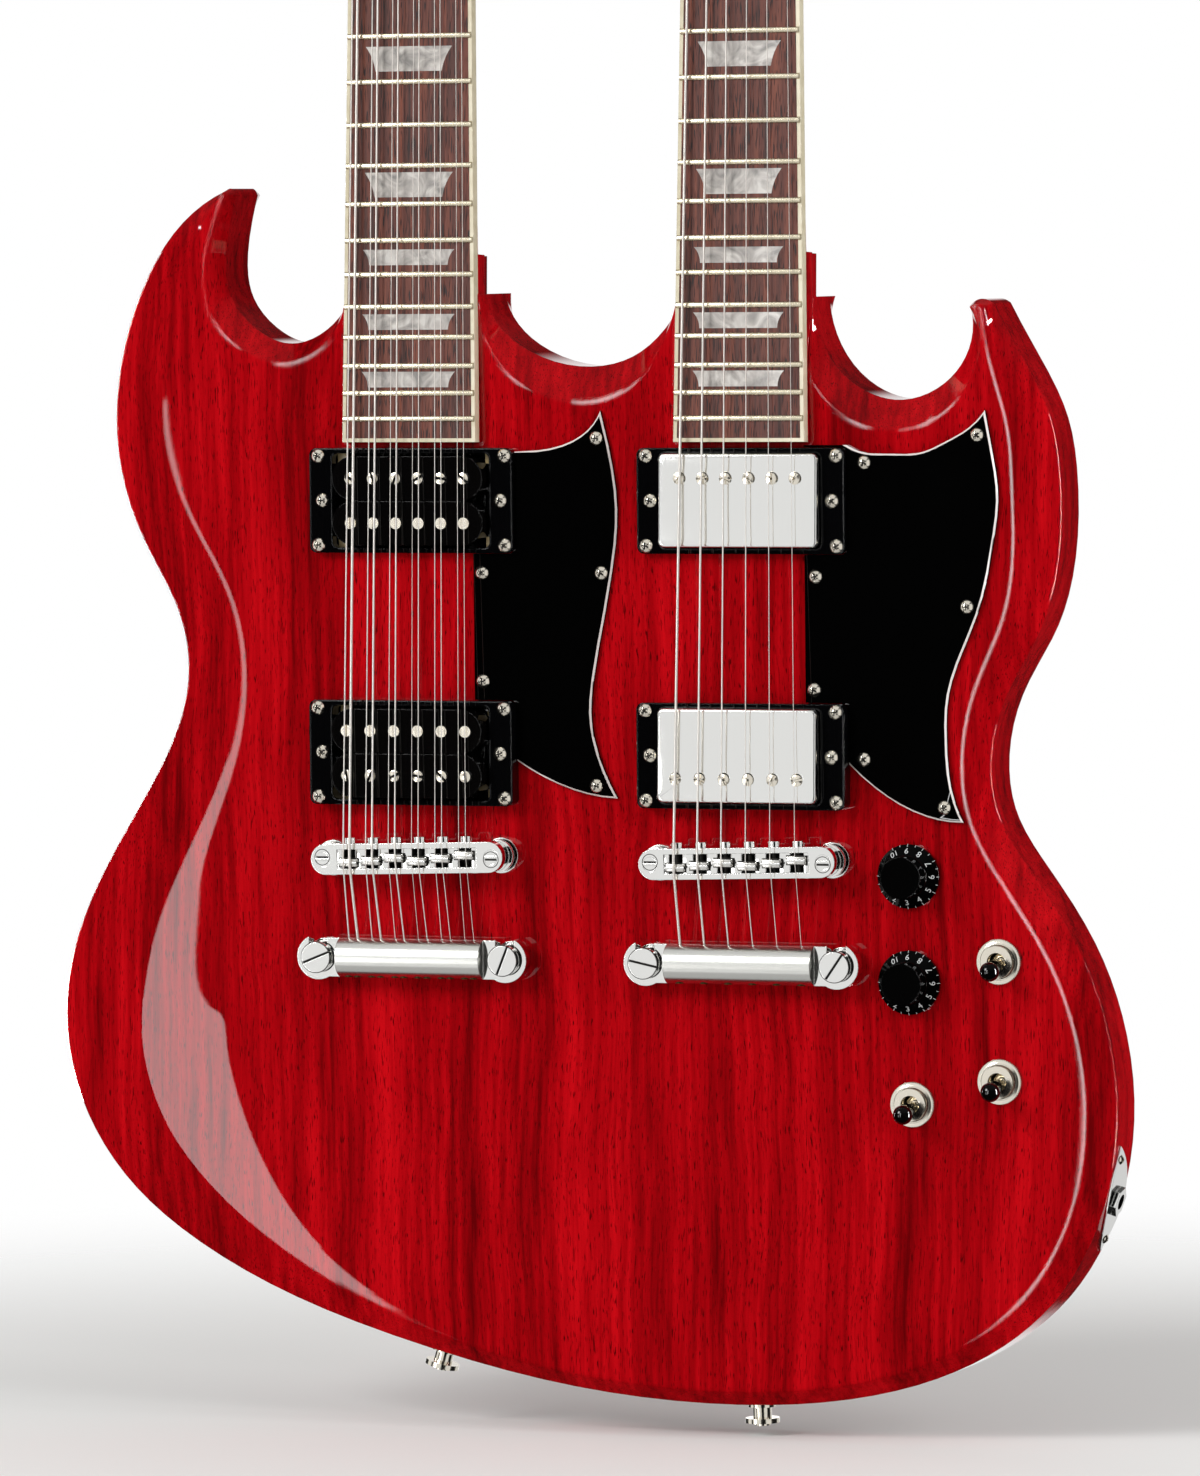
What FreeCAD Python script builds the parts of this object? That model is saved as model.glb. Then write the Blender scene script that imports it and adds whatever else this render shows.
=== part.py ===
import FreeCAD, Part
import math
import os
from collections import namedtuple

V = FreeCAD.Vector
OUT = V(0, -1, 0)
ACROSS = V(1, 0, 0)
UP = V(0, 0, 1)
CUT = 1.0

# A double-neck electric guitar with a 12-string neck on the left and a 6-string neck on the right.
# It hangs upright and its front faces -Y. The origin is at the nut of the 12-string neck, on
# that neck's centre line. Heights are measured out of the body's flat front, so height = -y.

# Whole instrument
SCALE_LENGTH = 628.65
COMPENSATION = 3.35
NECK_SPACING = 143.0
NECK_ANGLE = 2.05
BOARD_LIFT = 7.4
BODY_THICK = 38.0
BODY_WIDTH = 458.0
BODY_LENGTH = 497.0
BODY_SHIFT = 3.5
BODY_TAIL = 223.0
BEVEL_WIDTH = 36.0
BEVEL_DEPTH = 7.0
SHOULDER_WIDTH = 39.0
SHOULDER_DEPTH = 2.7
SHOULDER_LEAST_SHARE = 0.04

# Fingerboards, frets, inlays and nuts
FRET_COUNT = 22
BOARD_TAIL = 9.6
BOARD_THICK = 6.0
BOARD_RADIUS = 305.0
BINDING_THICK = 1.6
TWELVE_NUT_WIDTH = 48.0
TWELVE_END_WIDTH = 58.3
SIX_NUT_WIDTH = 43.0
SIX_END_WIDTH = 56.0
FRET_WIDTH = 2.5
FRET_HEIGHT = 1.1
FRET_END_INSET = 0.4
TANG_WIDTH = 0.6
TANG_DEPTH = 1.8
TANG_END_GAP = 0.5
SLOT_DEPTH = 2.2
INLAY_DEPTH = 1.5
INLAY_TALL = 10.2
INLAY_SHORT = 6.4
INLAY_WAIST = 0.8
LAST_TALL_INLAY = 15
INLAY_FRETS = (3, 5, 7, 9, 12, 15, 17, 19, 21)
TALL_INLAY_SHARES = (0.69, 0.53)
SHORT_INLAY_SHARES = (0.71, 0.61)
NUT_THICK = 5.0
NUT_RISE = 3.1
NUT_SLOT_CLEARANCE = 0.05

# Neck shafts, heels, tenons and truss rods
SHAFT_DEPTH_NUT = 14.0
SHAFT_DEPTH_HEEL = 17.5
SHAFT_OVERLAP = 12.0
HEEL_LENGTH = 60.0
HEEL_IN_BODY = 54.0
HEEL_DEPTH = 34.0
HEEL_DEPTH_SHARES = ((0.0, 0.0), (0.35, 0.14), (0.65, 0.42), (0.85, 0.78), (1.0, 1.0))
TONGUE_DEPTH = 8.0
TENON_WIDTH = 46.0
TENON_DEPTH = 25.0
TENON_LEAD = 27.0
ROD_RADIUS = 2.4
ROD_CHANNEL_WIDTH = 5.0
ROD_CHANNEL_DEPTH = 8.0
ROD_END_GAP = 31.9
ROD_NUT_RADIUS = 3.4
ROD_NUT_LENGTH = 7.0
ROD_POCKET_LENGTH = 24.0
ROD_POCKET_WIDTH = 9.0

# Headstocks and truss rod covers
HEAD_ANGLE = 15.0
HEAD_THICK = 15.0
TWELVE_HEAD_END = 27.0
SIX_HEAD_END = 34.0
HEAD_WIDTH = 80.0
HEAD_FLARE_SHARES = ((0.25, 0.06), (0.75, 0.13))
HEAD_ARCH = 6.0
HEAD_TOP_SHARE = 0.92
TRUSS_COVER_LENGTH = 34.0
TRUSS_COVER_WIDTH = 18.0
TRUSS_COVER_THICK = 2.0
TRUSS_COVER_CORNER = 4.0
TRUSS_COVER_GAP = 3.0
TRUSS_SCREW_INSET = 2.6

# Tuners
POST_INSET = 13.0
TWELVE_FIRST_POST = 34.0
HOUSING_GAP = 0.8
SIX_FIRST_POST = 42.0
SIX_POST_PITCH = 38.0
POST_RADIUS = 3.0
POST_TOP = 12.0
POST_WAIST_RADIUS = 2.6
POST_WAIST_LOW = 3.6
POST_WAIST_HIGH = 9.5
POST_HOLE_RADIUS = 0.8
POST_CLEARANCE = 0.05
BUSH_RADIUS = 5.0
BUSH_NUT_RADIUS = 7.2
BUSH_NUT_HEIGHT = 2.4
GEAR_RADIUS = 5.0
GEAR_THICK = 3.0
WORM_RADIUS = 2.5
WORM_LENGTH = 11.0
WORM_GAP = 0.2
HOUSING_WIDTH = 18.0
HOUSING_ABOVE = 8.0
HOUSING_BELOW = 12.6
HOUSING_DEPTH = 10.5
HOUSING_WALL = 1.3
HOUSING_CORNER = 2.6
LUG_RADIUS = 3.2
LUG_THICK = 1.6
LUG_REACH = 2.4
KEY_SHAFT_RADIUS = 2.0
KEY_NECK = 5.0
KEY_COLLAR_RADIUS = 3.4
KEY_COLLAR_LENGTH = 1.8
KEY_COLLAR_GAP = 0.3
BUTTON_LENGTH = 13.0
BUTTON_WIDTH = 19.0
BUTTON_THICK = 8.0
BUTTON_CORNER = 3.2

# Strings. Diameters run from the low side, with each pair's octave string first.
STRING_DIAMETERS_TWELVE = (0.66, 1.17, 0.46, 0.91, 0.33, 0.66, 0.25, 0.43, 0.33, 0.33, 0.25, 0.25)
STRING_DIAMETERS_SIX = (1.17, 0.91, 0.66, 0.43, 0.33, 0.25)
NUT_STRING_HEIGHT = 2.2
ACTION_RISE = 1.7
TWELVE_NUT_PITCH = 8.2
TWELVE_NUT_PAIR = 2.0
SIX_NUT_PITCH = 7.1
TWELVE_SADDLE_PITCH = 10.2
TWELVE_SADDLE_PAIR = 2.9
SIX_SADDLE_PITCH = 10.4
TAIL_PAIR = 3.9
WRAP_HEIGHT = 4.0
WRAP_CLEARANCE = 0.1
WRAP_TURNS = 3
WRAP_FULLNESS = 1.3

# Pickups and their rings
RING_GAP = 2.2
RING_SIDE = 10.5
RING_END = 2.5
RING_CORNER = 3.0
NECK_RING_HEIGHT = 4.6
BRIDGE_RING_HEIGHT = 7.6
RING_SCREW_INSET_ACROSS = 3.7
RING_SCREW_INSET_ALONG = 3.2
ADJUST_SCREW_INSET = 5.5
BRIDGE_PICKUP_SETBACK = 43.0
PICKUP_WIDTH = 68.0
PICKUP_LENGTH = 38.0
PICKUP_CLEARANCE = 0.4
PICKUP_UNDER_STRINGS = 3.0
COVER_WALL = 0.7
COVER_CORNER = 2.4
COVER_DEPTH = 15.0
BOBBIN_HEIGHT = 12.0
BOBBIN_SIDE_GAP = 1.0
BOBBIN_GAP = 0.4
BOBBIN_END_GAP = 0.8
BASE_THICK = 1.2
LUG_STRIP_WIDTH = 9.0
LUG_STRIP_END = 3.0
NECK_POLE_PITCH = 9.9
BRIDGE_POLE_PITCH = 10.4
POLE_RADIUS = 2.4
POLE_RISE = 0.5
MAGNET_WIDTH = 7.0
MAGNET_THICK = 3.0
MAGNET_SIDE_GAP = 4.0
CAVITY_SIDE = 2.0
CAVITY_DEPTH = 24.0

# Bridges
BRIDGE_SLANT = 1.5
POST_SPACING = 74.0
BAR_END = 5.0
BAR_WIDTH = 12.6
BAR_HEIGHT = 8.0
STRING_OVER_BAR = 3.6
CHANNEL_END_GAP = 0.8
CHANNEL_WIDTH = 8.0
CHANNEL_DEPTH = 6.0
SADDLE_WIDTH = 8.4
SADDLE_LENGTH = 3.4
SADDLE_SHIFT = 1.6
SADDLE_SHIFT_SHARES = (-0.9, -0.5, 0.2, -0.7, -0.1, 0.6)
SADDLE_SCREW_RADIUS = 1.1
SADDLE_HEAD_RADIUS = 2.6
SADDLE_HEAD_LENGTH = 2.4
STUD_TOP_RADIUS = 3.1
STUD_RADIUS = 2.2
WHEEL_RADIUS = 6.6
WHEEL_THICK = 1.8
INSERT_RADIUS = 5.5
INSERT_DEPTH = 18.0
INSERT_FLANGE_RADIUS = 7.3
INSERT_FLANGE_THICK = 1.6
SCREW_SLOT_WIDTH = 0.9
SCREW_SLOT_DEPTH = 1.0

# Tailpieces
TAIL_SETBACK = 41.5
TAIL_STUD_SPACING = 82.0
TAIL_WIDTH = 16.0
TAIL_LOW = 3.4
TAIL_HIGH = 15.5
TAIL_BAR_GAP = 9.5
TAIL_EAR_RADIUS = 9.3
TAIL_EAR_TOP = 9.4
TAIL_SLOT_HALF = 4.1
TAIL_STRING_HEIGHT = 9.0
TAIL_BORE_RADIUS = 1.0
BALL_RADIUS = 1.9
BALL_LENGTH = 3.6
TAIL_STUD_NECK = 3.9
TAIL_STUD_HEAD = 6.2
TAIL_STUD_HEAD_THICK = 3.4
TAIL_STUD_THREAD = 3.4

# Pickguards. Shares run across from the neck's centre line and down from the top tip.
GUARD_THICK = 2.4
GUARD_RISE = 36.5
GUARD_LEFT = 26.5
GUARD_RING_GAP = 0.3
TWELVE_GUARD_WIDTH = 89.0
TWELVE_GUARD_LENGTH = 158.0
SIX_GUARD_WIDTH = 108.5
SIX_GUARD_LENGTH = 166.0
TWELVE_GUARD_TOP_SHARES = ((0.50, 0.105), (0.62, 0.101), (0.73, 0.089), (0.843, 0.057), (0.921, 0.0))
TWELVE_GUARD_SIDE_SHARES = (
    (0.921, 0.0), (0.975, 0.13), (1.0, 0.26), (0.975, 0.405), (0.93, 0.54),
    (0.876, 0.70), (0.865, 0.79), (0.90, 0.89), (0.989, 1.0),
)
TWELVE_GUARD_FOOT_SHARES = ((0.989, 1.0), (0.87, 0.993), (0.75, 0.975), (0.62, 0.944), (0.50, 0.905))
SIX_GUARD_TOP_SHARES = (
    (0.41, 0.084), (0.49, 0.103), (0.59, 0.105), (0.70, 0.102),
    (0.79, 0.078), (0.875, 0.048), (0.95, 0.0),
)
SIX_GUARD_SIDE_SHARES = (
    (0.95, 0.0), (0.987, 0.13), (1.0, 0.21), (0.982, 0.313), (0.95, 0.42), (0.92, 0.488),
    (0.85, 0.596), (0.80, 0.70), (0.793, 0.795), (0.806, 0.904), (0.857, 1.0),
)
SIX_GUARD_FOOT_SHARES = ((0.857, 1.0), (0.73, 0.99), (0.59, 0.952), (0.507, 0.916), (0.41, 0.86))
TWELVE_GUARD_SCREW_SHARES = ((0.90, 0.07), (0.92, 0.418), (0.337, 0.418), (0.337, 0.70), (0.888, 0.968))
SIX_GUARD_SCREW_SHARES = (
    (0.479, 0.127), (0.92, 0.06), (0.286, 0.404), (0.876, 0.476),
    (0.277, 0.681), (0.47, 0.849), (0.783, 0.964),
)

# Controls
KNOB_SIDE_GAP = 6.2
KNOB_DROP = 5.0
KNOB_PITCH = 43.0
KNOB_RADIUS = 13.0
KNOB_TOP_RADIUS = 8.5
KNOB_SKIRT_EDGE = 1.6
KNOB_SKIRT_HEIGHT = 4.6
KNOB_HEIGHT = 13.0
KNOB_GAP = 0.9
KNOB_HOLLOW_RADIUS = 8.4
KNOB_HOLLOW_HEIGHT = 3.4
KNOB_BORE_TOP = 10.0
POT_SHAFT_RADIUS = 3.0
POT_CLEARANCE = 0.05
POT_BUSH_RADIUS = 4.6
POT_NUT_RADIUS = 6.6
POT_NUT_THICK = 1.8
POT_RADIUS = 12.0
POT_DEPTH = 9.0
POT_WALL = 1.0
POT_WIPER_RADIUS = 9.0
POT_WIPER_THICK = 1.2
SWITCH_SIDE_SHARE = 0.444
SWITCH_DROP = 39.0
SWITCH_PITCH = 48.5
LOW_SWITCH_SHIFT = 0.5
LOW_SWITCH_DROP = 97.5
SWITCH_NUT_RADIUS = 9.0
SWITCH_NUT_THICK = 1.7
SWITCH_COLLAR_RADIUS = 6.6
SWITCH_COLLAR_HEIGHT = 4.4
SWITCH_BUSH_RADIUS = 5.6
SWITCH_BORE_RADIUS = 4.2
SWITCH_BALL_RADIUS = 3.95
SWITCH_PIVOT_DEPTH = 4.0
SWITCH_BOX_WIDTH = 15.0
SWITCH_BOX_LENGTH = 20.0
SWITCH_BOX_DEPTH = 13.0
SWITCH_BOX_WALL = 1.4
LEVER_RADIUS = 1.6
LEVER_TAIL = 8.0
LEVER_PIN_RADIUS = 0.9
LEVER_PIN_CLEARANCE = 0.05
LEVER_PIN_END_GAP = 0.6
LEVER_TILT = 10.0
LEVER_TIP_RADIUS = 4.0
LEVER_TIP_BASE_RADIUS = 2.6
LEVER_TIP_LOW = 5.6
LEVER_TIP_HIGH = 17.5
CONTROL_FLOOR = 7.0
CONTROL_MARGIN = 17.0
CONTROL_SWITCH_MARGIN = 12.0
COVER_LIP = 7.0
REAR_COVER_THICK = 2.2
REAR_COVER_CLEARANCE = 0.2

# Output jack on the lower right edge
JACK_DROP = 136.0
JACK_PLATE_LENGTH = 48.0
JACK_PLATE_WIDTH = 20.0
JACK_PLATE_THICK = 1.5
JACK_SEAT_RADIUS = 120.0
JACK_SEAT_DEPTH = 0.4
JACK_SCREW_SPACING = 36.0
JACK_BORE_RADIUS = 3.2
JACK_TUBE_RADIUS = 4.7
JACK_TUBE_LENGTH = 26.0
JACK_NUT_RADIUS = 6.2
JACK_NUT_THICK = 2.0
JACK_HOLE_RADIUS = 8.5
JACK_CAN_RADIUS = 7.6
JACK_CAN_LENGTH = 6.0

# Wiring channels and the wires in them
WIRE_CHANNEL_RADIUS = 3.6
WIRE_RADIUS = 1.6
WIRE_DEPTH = 22.0
WIRE_END = 6.0

# Strap buttons
STRAP_HEIGHT = 8.5
STRAP_FLANGE_RADIUS = 7.0
STRAP_FLANGE_THICK = 2.0
STRAP_BASE_RADIUS = 5.6
STRAP_BASE_THICK = 2.0
STRAP_WAIST_RADIUS = 3.8
STRAP_SCREW_RADIUS = 1.6
STRAP_SCREW_HEAD_RADIUS = 3.0
STRAP_SCREW_HEAD_HEIGHT = 1.2
STRAP_SCREW_LENGTH = 28.0
STRAP_X_FIRST = 3.0
STRAP_X_SECOND = 141.0
STRAP_BACK_X = -58.0
STRAP_BACK_DROP = 92.0

# Wood screws
SCREW_HEAD_RADIUS = 2.9
SCREW_HEAD_HEIGHT = 1.6
SCREW_SHANK_RADIUS = 1.3
SCREW_LENGTH = 12.0
SCREW_CROSS_WIDTH = 0.7
SCREW_CROSS_LENGTH = 3.0
SCREW_CROSS_DEPTH = 0.9
SMALL_SCREW_SHARE = 0.72

# Body outline. Each point has three shares: across, down from the left horn's tip, and bevel width.
# Across, -1 is the left edge, 0 and 1 are the necks' centre lines, and 2 is the right edge. A fourth
# share is the width of the shoulder that eases the flat front into the bevel, where it isn't the least.
OUTER_SIDE_SHARES = (
    (-0.528, 0.000, 0.05, 0.01), (-0.676, 0.036, 0.38), (-0.775, 0.091, 0.55), (-0.832, 0.159, 0.62),
    (-0.835, 0.215, 0.65, 0.06), (-0.764, 0.292, 0.68, 0.055), (-0.670, 0.352, 0.70, 0.055),
    (-0.647, 0.406, 0.72, 0.07), (-0.690, 0.457, 0.76, 0.11), (-0.789, 0.515, 0.82, 0.20),
    (-0.912, 0.583, 0.92, 0.47), (-0.986, 0.648, 1.00, 0.80), (-1.000, 0.698, 1.00, 0.92),
    (-0.954, 0.765, 0.94, 1.00), (-0.832, 0.827, 0.82, 0.97), (-0.633, 0.879, 0.64, 0.72),
    (-0.371, 0.922, 0.44, 0.30), (-0.061, 0.956, 0.26, 0.08), (0.411, 0.988, 0.18), (0.853, 1.000, 0.17),
    (1.304, 0.990, 0.18), (1.599, 0.960, 0.20), (1.813, 0.911, 0.22), (1.941, 0.847, 0.25),
    (2.000, 0.763, 0.28), (1.982, 0.694, 0.28), (1.896, 0.618, 0.28), (1.774, 0.559, 0.27),
    (1.682, 0.511, 0.25), (1.664, 0.467, 0.25), (1.709, 0.412, 0.28), (1.798, 0.362, 0.36),
    (1.851, 0.302, 0.44), (1.857, 0.241, 0.47), (1.830, 0.189, 0.42), (1.759, 0.143, 0.30),
    (1.676, 0.097, 0.06, 0.01),
)
RIGHT_TIP_SHARES = ((1.676, 0.097, 0.06, 0.01), (1.643, 0.0935, 0.06, 0.01), (1.613, 0.099, 0.06, 0.01))
RIGHT_CUTAWAY_SHARES = (
    (1.613, 0.099, 0.06, 0.01), (1.616, 0.127, 0.17), (1.572, 0.153, 0.26), (1.417, 0.175, 0.34),
    (1.259, 0.153, 0.28), (1.194, 0.121, 0.14), (1.176, 0.091, 0.00),
)
MIDDLE_CUTAWAY_SHARES = (
    (0.805, 0.091, 0.00), (0.754, 0.115, 0.10), (0.652, 0.139, 0.30), (0.504, 0.147, 0.42),
    (0.344, 0.135, 0.32), (0.251, 0.115, 0.14), (0.203, 0.087, 0.00),
)
LEFT_CUTAWAY_SHARES = (
    (-0.186, 0.087, 0.00), (-0.249, 0.115, 0.14), (-0.354, 0.127, 0.22), (-0.454, 0.113, 0.24),
    (-0.516, 0.087, 0.22), (-0.528, 0.054, 0.16), (-0.499, 0.004, 0.05, 0.01),
)
LEFT_TIP_SHARES = ((-0.499, 0.004, 0.05, 0.01), (-0.514, -0.002, 0.05, 0.01), (-0.528, 0.000, 0.05, 0.01))

Neck = namedtuple("Neck", "name x nut_width end_width head_length first_post post_pitch diameters nut_places "
                          "saddle_places tail_places guard_width guard_length guard_shares guard_screws")


def spread(pitch, pair, count):
    """Places of the strings across, from the low side, in singles or in pairs."""
    courses = 6
    places = []
    for course in range(courses):
        middle = (course - (courses - 1) / 2) * pitch
        places += [middle] if count == courses else [middle - pair / 2, middle + pair / 2]
    return places


TWELVE_COUNT = len(STRING_DIAMETERS_TWELVE)
SIX_COUNT = len(STRING_DIAMETERS_SIX)
TWELVE_POST_PITCH = HOUSING_ABOVE + LUG_REACH + LUG_RADIUS + HOUSING_BELOW + HOUSING_GAP
TWELVE_HEAD_LENGTH = TWELVE_FIRST_POST + (TWELVE_COUNT / 2 - 1) * TWELVE_POST_PITCH + TWELVE_HEAD_END
SIX_HEAD_LENGTH = SIX_FIRST_POST + (SIX_COUNT / 2 - 1) * SIX_POST_PITCH + SIX_HEAD_END
TWELVE = Neck("twelve", 0.0, TWELVE_NUT_WIDTH, TWELVE_END_WIDTH, TWELVE_HEAD_LENGTH, TWELVE_FIRST_POST,
              TWELVE_POST_PITCH, STRING_DIAMETERS_TWELVE,
              spread(TWELVE_NUT_PITCH, TWELVE_NUT_PAIR, TWELVE_COUNT),
              spread(TWELVE_SADDLE_PITCH, TWELVE_SADDLE_PAIR, TWELVE_COUNT),
              spread(TWELVE_SADDLE_PITCH, TAIL_PAIR, TWELVE_COUNT), TWELVE_GUARD_WIDTH, TWELVE_GUARD_LENGTH,
              (TWELVE_GUARD_TOP_SHARES, TWELVE_GUARD_SIDE_SHARES, TWELVE_GUARD_FOOT_SHARES),
              TWELVE_GUARD_SCREW_SHARES)
SIX = Neck("six", NECK_SPACING, SIX_NUT_WIDTH, SIX_END_WIDTH, SIX_HEAD_LENGTH, SIX_FIRST_POST,
           SIX_POST_PITCH, STRING_DIAMETERS_SIX, spread(SIX_NUT_PITCH, 0.0, SIX_COUNT),
           spread(SIX_SADDLE_PITCH, 0.0, SIX_COUNT), spread(SIX_SADDLE_PITCH, 0.0, SIX_COUNT),
           SIX_GUARD_WIDTH, SIX_GUARD_LENGTH,
           (SIX_GUARD_TOP_SHARES, SIX_GUARD_SIDE_SHARES, SIX_GUARD_FOOT_SHARES), SIX_GUARD_SCREW_SHARES)
NECKS = (TWELVE, SIX)

# Places that follow from the sizes above
SLOPE = math.tan(math.radians(NECK_ANGLE))
BRIDGE_Z = -(SCALE_LENGTH + COMPENSATION)
TAIL_Z = BRIDGE_Z - TAIL_SETBACK
BODY_TOP_Z = BRIDGE_Z - BODY_TAIL + BODY_LENGTH
BODY_LEFT = (BODY_WIDTH - NECK_SPACING) / 2 + BODY_SHIFT
BODY_RIGHT = BODY_WIDTH - BODY_LEFT - NECK_SPACING
HEEL_END = HEEL_IN_BODY - BODY_TOP_Z
HEEL_START = HEEL_END - HEEL_LENGTH
TENON_START = HEEL_END - TENON_LEAD


def fret_z(number):
    return -SCALE_LENGTH * (1 - 2 ** (-number / 12))


BOARD_LENGTH = BOARD_TAIL - fret_z(FRET_COUNT)
NECK_BACK = BOARD_LENGTH * math.sin(math.radians(NECK_ANGLE)) - BOARD_LIFT
ROD_LENGTH = BOARD_LENGTH - ROD_END_GAP
RING_WIDTH = PICKUP_WIDTH + 2 * RING_SIDE
RING_LENGTH = PICKUP_LENGTH + 2 * RING_END
RING_SCREW_ACROSS = RING_WIDTH - 2 * RING_SCREW_INSET_ACROSS
RING_SCREW_ALONG = RING_LENGTH - 2 * RING_SCREW_INSET_ALONG
ADJUST_SCREW_ACROSS = RING_WIDTH - 2 * ADJUST_SCREW_INSET
LUG_STRIP_LENGTH = ADJUST_SCREW_ACROSS + 2 * LUG_STRIP_END
BOBBIN_WIDTH = PICKUP_WIDTH - 2 * BOBBIN_SIDE_GAP
BOBBIN_LENGTH = (PICKUP_LENGTH - 2 * BOBBIN_END_GAP - BOBBIN_GAP) / 2
COIL_SPACING = BOBBIN_LENGTH + BOBBIN_GAP
MAGNET_LENGTH = PICKUP_WIDTH - 2 * MAGNET_SIDE_GAP
BAR_LENGTH = POST_SPACING + 2 * BAR_END
TAIL_BAR_LENGTH = TAIL_STUD_SPACING - 2 * TAIL_BAR_GAP
NECK_RING_Z = -BOARD_LENGTH - RING_GAP - RING_LENGTH / 2
BRIDGE_RING_Z = BRIDGE_Z + BRIDGE_PICKUP_SETBACK
GUARD_TOP_Z = NECK_RING_Z + GUARD_RISE
KNOB_X = NECK_SPACING + TAIL_STUD_SPACING / 2 + TAIL_EAR_RADIUS + KNOB_SIDE_GAP + KNOB_RADIUS
KNOB_PLACES = ((KNOB_X, BRIDGE_Z - KNOB_DROP), (KNOB_X, BRIDGE_Z - KNOB_DROP - KNOB_PITCH))
SWITCH_X = KNOB_X + (NECK_SPACING + BODY_RIGHT - KNOB_X) * SWITCH_SIDE_SHARE
SWITCH_PLACES = (
    (SWITCH_X, BRIDGE_Z - SWITCH_DROP),
    (SWITCH_X, BRIDGE_Z - SWITCH_DROP - SWITCH_PITCH),
    (KNOB_X + LOW_SWITCH_SHIFT, BRIDGE_Z - LOW_SWITCH_DROP),
)
JACK_Z = BRIDGE_Z - JACK_DROP


def neck_place(neck):
    """Frame of a tilted neck: its origin is on the board's top at the nut."""
    return FreeCAD.Placement(V(neck.x, NECK_BACK, 0), FreeCAD.Rotation(ACROSS, -NECK_ANGLE))


def head_place(neck):
    """Frame of a headstock: its origin is on the front face behind the nut."""
    turn = FreeCAD.Placement(V(0, BOARD_THICK, NUT_THICK), FreeCAD.Rotation(ACROSS, -HEAD_ANGLE))
    return neck_place(neck).multiply(turn)


def bridge_place(neck):
    """Frame of a bridge: on the body's face under the saddles, slanted to suit the low strings."""
    return FreeCAD.Placement(V(neck.x, 0, BRIDGE_Z), FreeCAD.Rotation(OUT, BRIDGE_SLANT))


def placed(shape, place):
    return shape.transformed(place.toMatrix(), True)


def pt(x, height, z):
    return V(x, -height, z)


def disc(x, z, radius, low, high):
    return Part.makeCylinder(radius, high - low, pt(x, low, z), OUT)


def rod(x0, x1, height, z, radius):
    """A round bar along X."""
    return Part.makeCylinder(radius, x1 - x0, pt(x0, height, z), ACROSS)


def block(x0, x1, z0, z1, low, high):
    return Part.makeBox(x1 - x0, high - low, z1 - z0, pt(x0, high, z0))


def edges_along(shape, direction):
    """Straight edges that run along a direction."""
    chosen = []
    for edge in shape.Edges:
        run = edge.Vertexes[-1].Point - edge.Vertexes[0].Point
        if run.Length > 0 and abs(run.normalize().dot(direction)) > 0.999:
            chosen.append(edge)
    return chosen


def plate(x, z, width, length, corner, low, high):
    """A flat slab with rounded upright corners, centred at x and z."""
    slab = block(x - width / 2, x + width / 2, z - length / 2, z + length / 2, low, high)
    return slab.makeFillet(corner, edges_along(slab, OUT))


def capsule(x0, x1, z, radius, low, high):
    """A bar with round ends, whose end centres are at x0 and x1."""
    bar = block(x0, x1, z - radius, z + radius, low, high)
    return bar.fuse([disc(x0, z, radius, low, high), disc(x1, z, radius, low, high)]).removeSplitter()


def prism(points, low, high):
    corners = [pt(x, low, z) for x, z in points]
    return Part.Face(Part.makePolygon(corners + corners[:1])).extrude(OUT * (high - low))


def smooth(points):
    """One smooth edge through the points."""
    curve = Part.BSplineCurve()
    curve.interpolate(points)
    return curve.toShape()


def hexagon(x, z, radius, low, high):
    turns = [k * math.pi / 3 for k in range(6)]
    return prism([(x + radius * math.cos(turn), z + radius * math.sin(turn)) for turn in turns], low, high)


def slotted(head, x, z, radius, top):
    """A screw head with a straight driver slot."""
    return head.cut(block(x - radius, x + radius, z - SCREW_SLOT_WIDTH / 2, z + SCREW_SLOT_WIDTH / 2,
                          top - SCREW_SLOT_DEPTH, top + CUT))


def save(name, solids):
    Part.makeCompound(solids).exportStep("parts/" + name + ".step")


def solids_of(shapes):
    return [solid for shape in shapes for solid in shape.Solids]


# Screws

def wood_screw(share=1.0, length=SCREW_LENGTH):
    """A domed cross-head screw along OUT, with the head's underside at the origin."""
    radius = SCREW_HEAD_RADIUS * share
    height = SCREW_HEAD_HEIGHT * share
    ball = (radius ** 2 + height ** 2) / (2 * height)
    dome = Part.makeSphere(ball, pt(0, height - ball, 0)).common(disc(0, 0, radius, 0, height))
    half_width = SCREW_CROSS_WIDTH * share / 2
    half_length = SCREW_CROSS_LENGTH * share / 2
    floor = height - SCREW_CROSS_DEPTH * share
    cross = [
        block(-half_length, half_length, -half_width, half_width, floor, height + CUT),
        block(-half_width, half_width, -half_length, half_length, floor, height + CUT),
    ]
    return dome.cut(cross).fuse(disc(0, 0, SCREW_SHANK_RADIUS * share, -length, 0)).removeSplitter()


def shank(place, share=1.0, length=SCREW_LENGTH):
    """The hole that a wood screw fills, from just above its head's underside."""
    return placed(disc(0, 0, SCREW_SHANK_RADIUS * share, -length, CUT), place)


def at(x, height, z):
    return FreeCAD.Placement(pt(x, height, z), FreeCAD.Rotation())


def ring_screw_places(neck):
    """Corner screws of both pickup rings of a neck."""
    places = []
    for z, height in ((NECK_RING_Z, NECK_RING_HEIGHT), (BRIDGE_RING_Z, BRIDGE_RING_HEIGHT)):
        for side in (-1, 1):
            x = neck.x + side * RING_SCREW_ACROSS / 2
            for end in (-1, 1):
                places.append(at(x, height, z + end * RING_SCREW_ALONG / 2))
    return places


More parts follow.
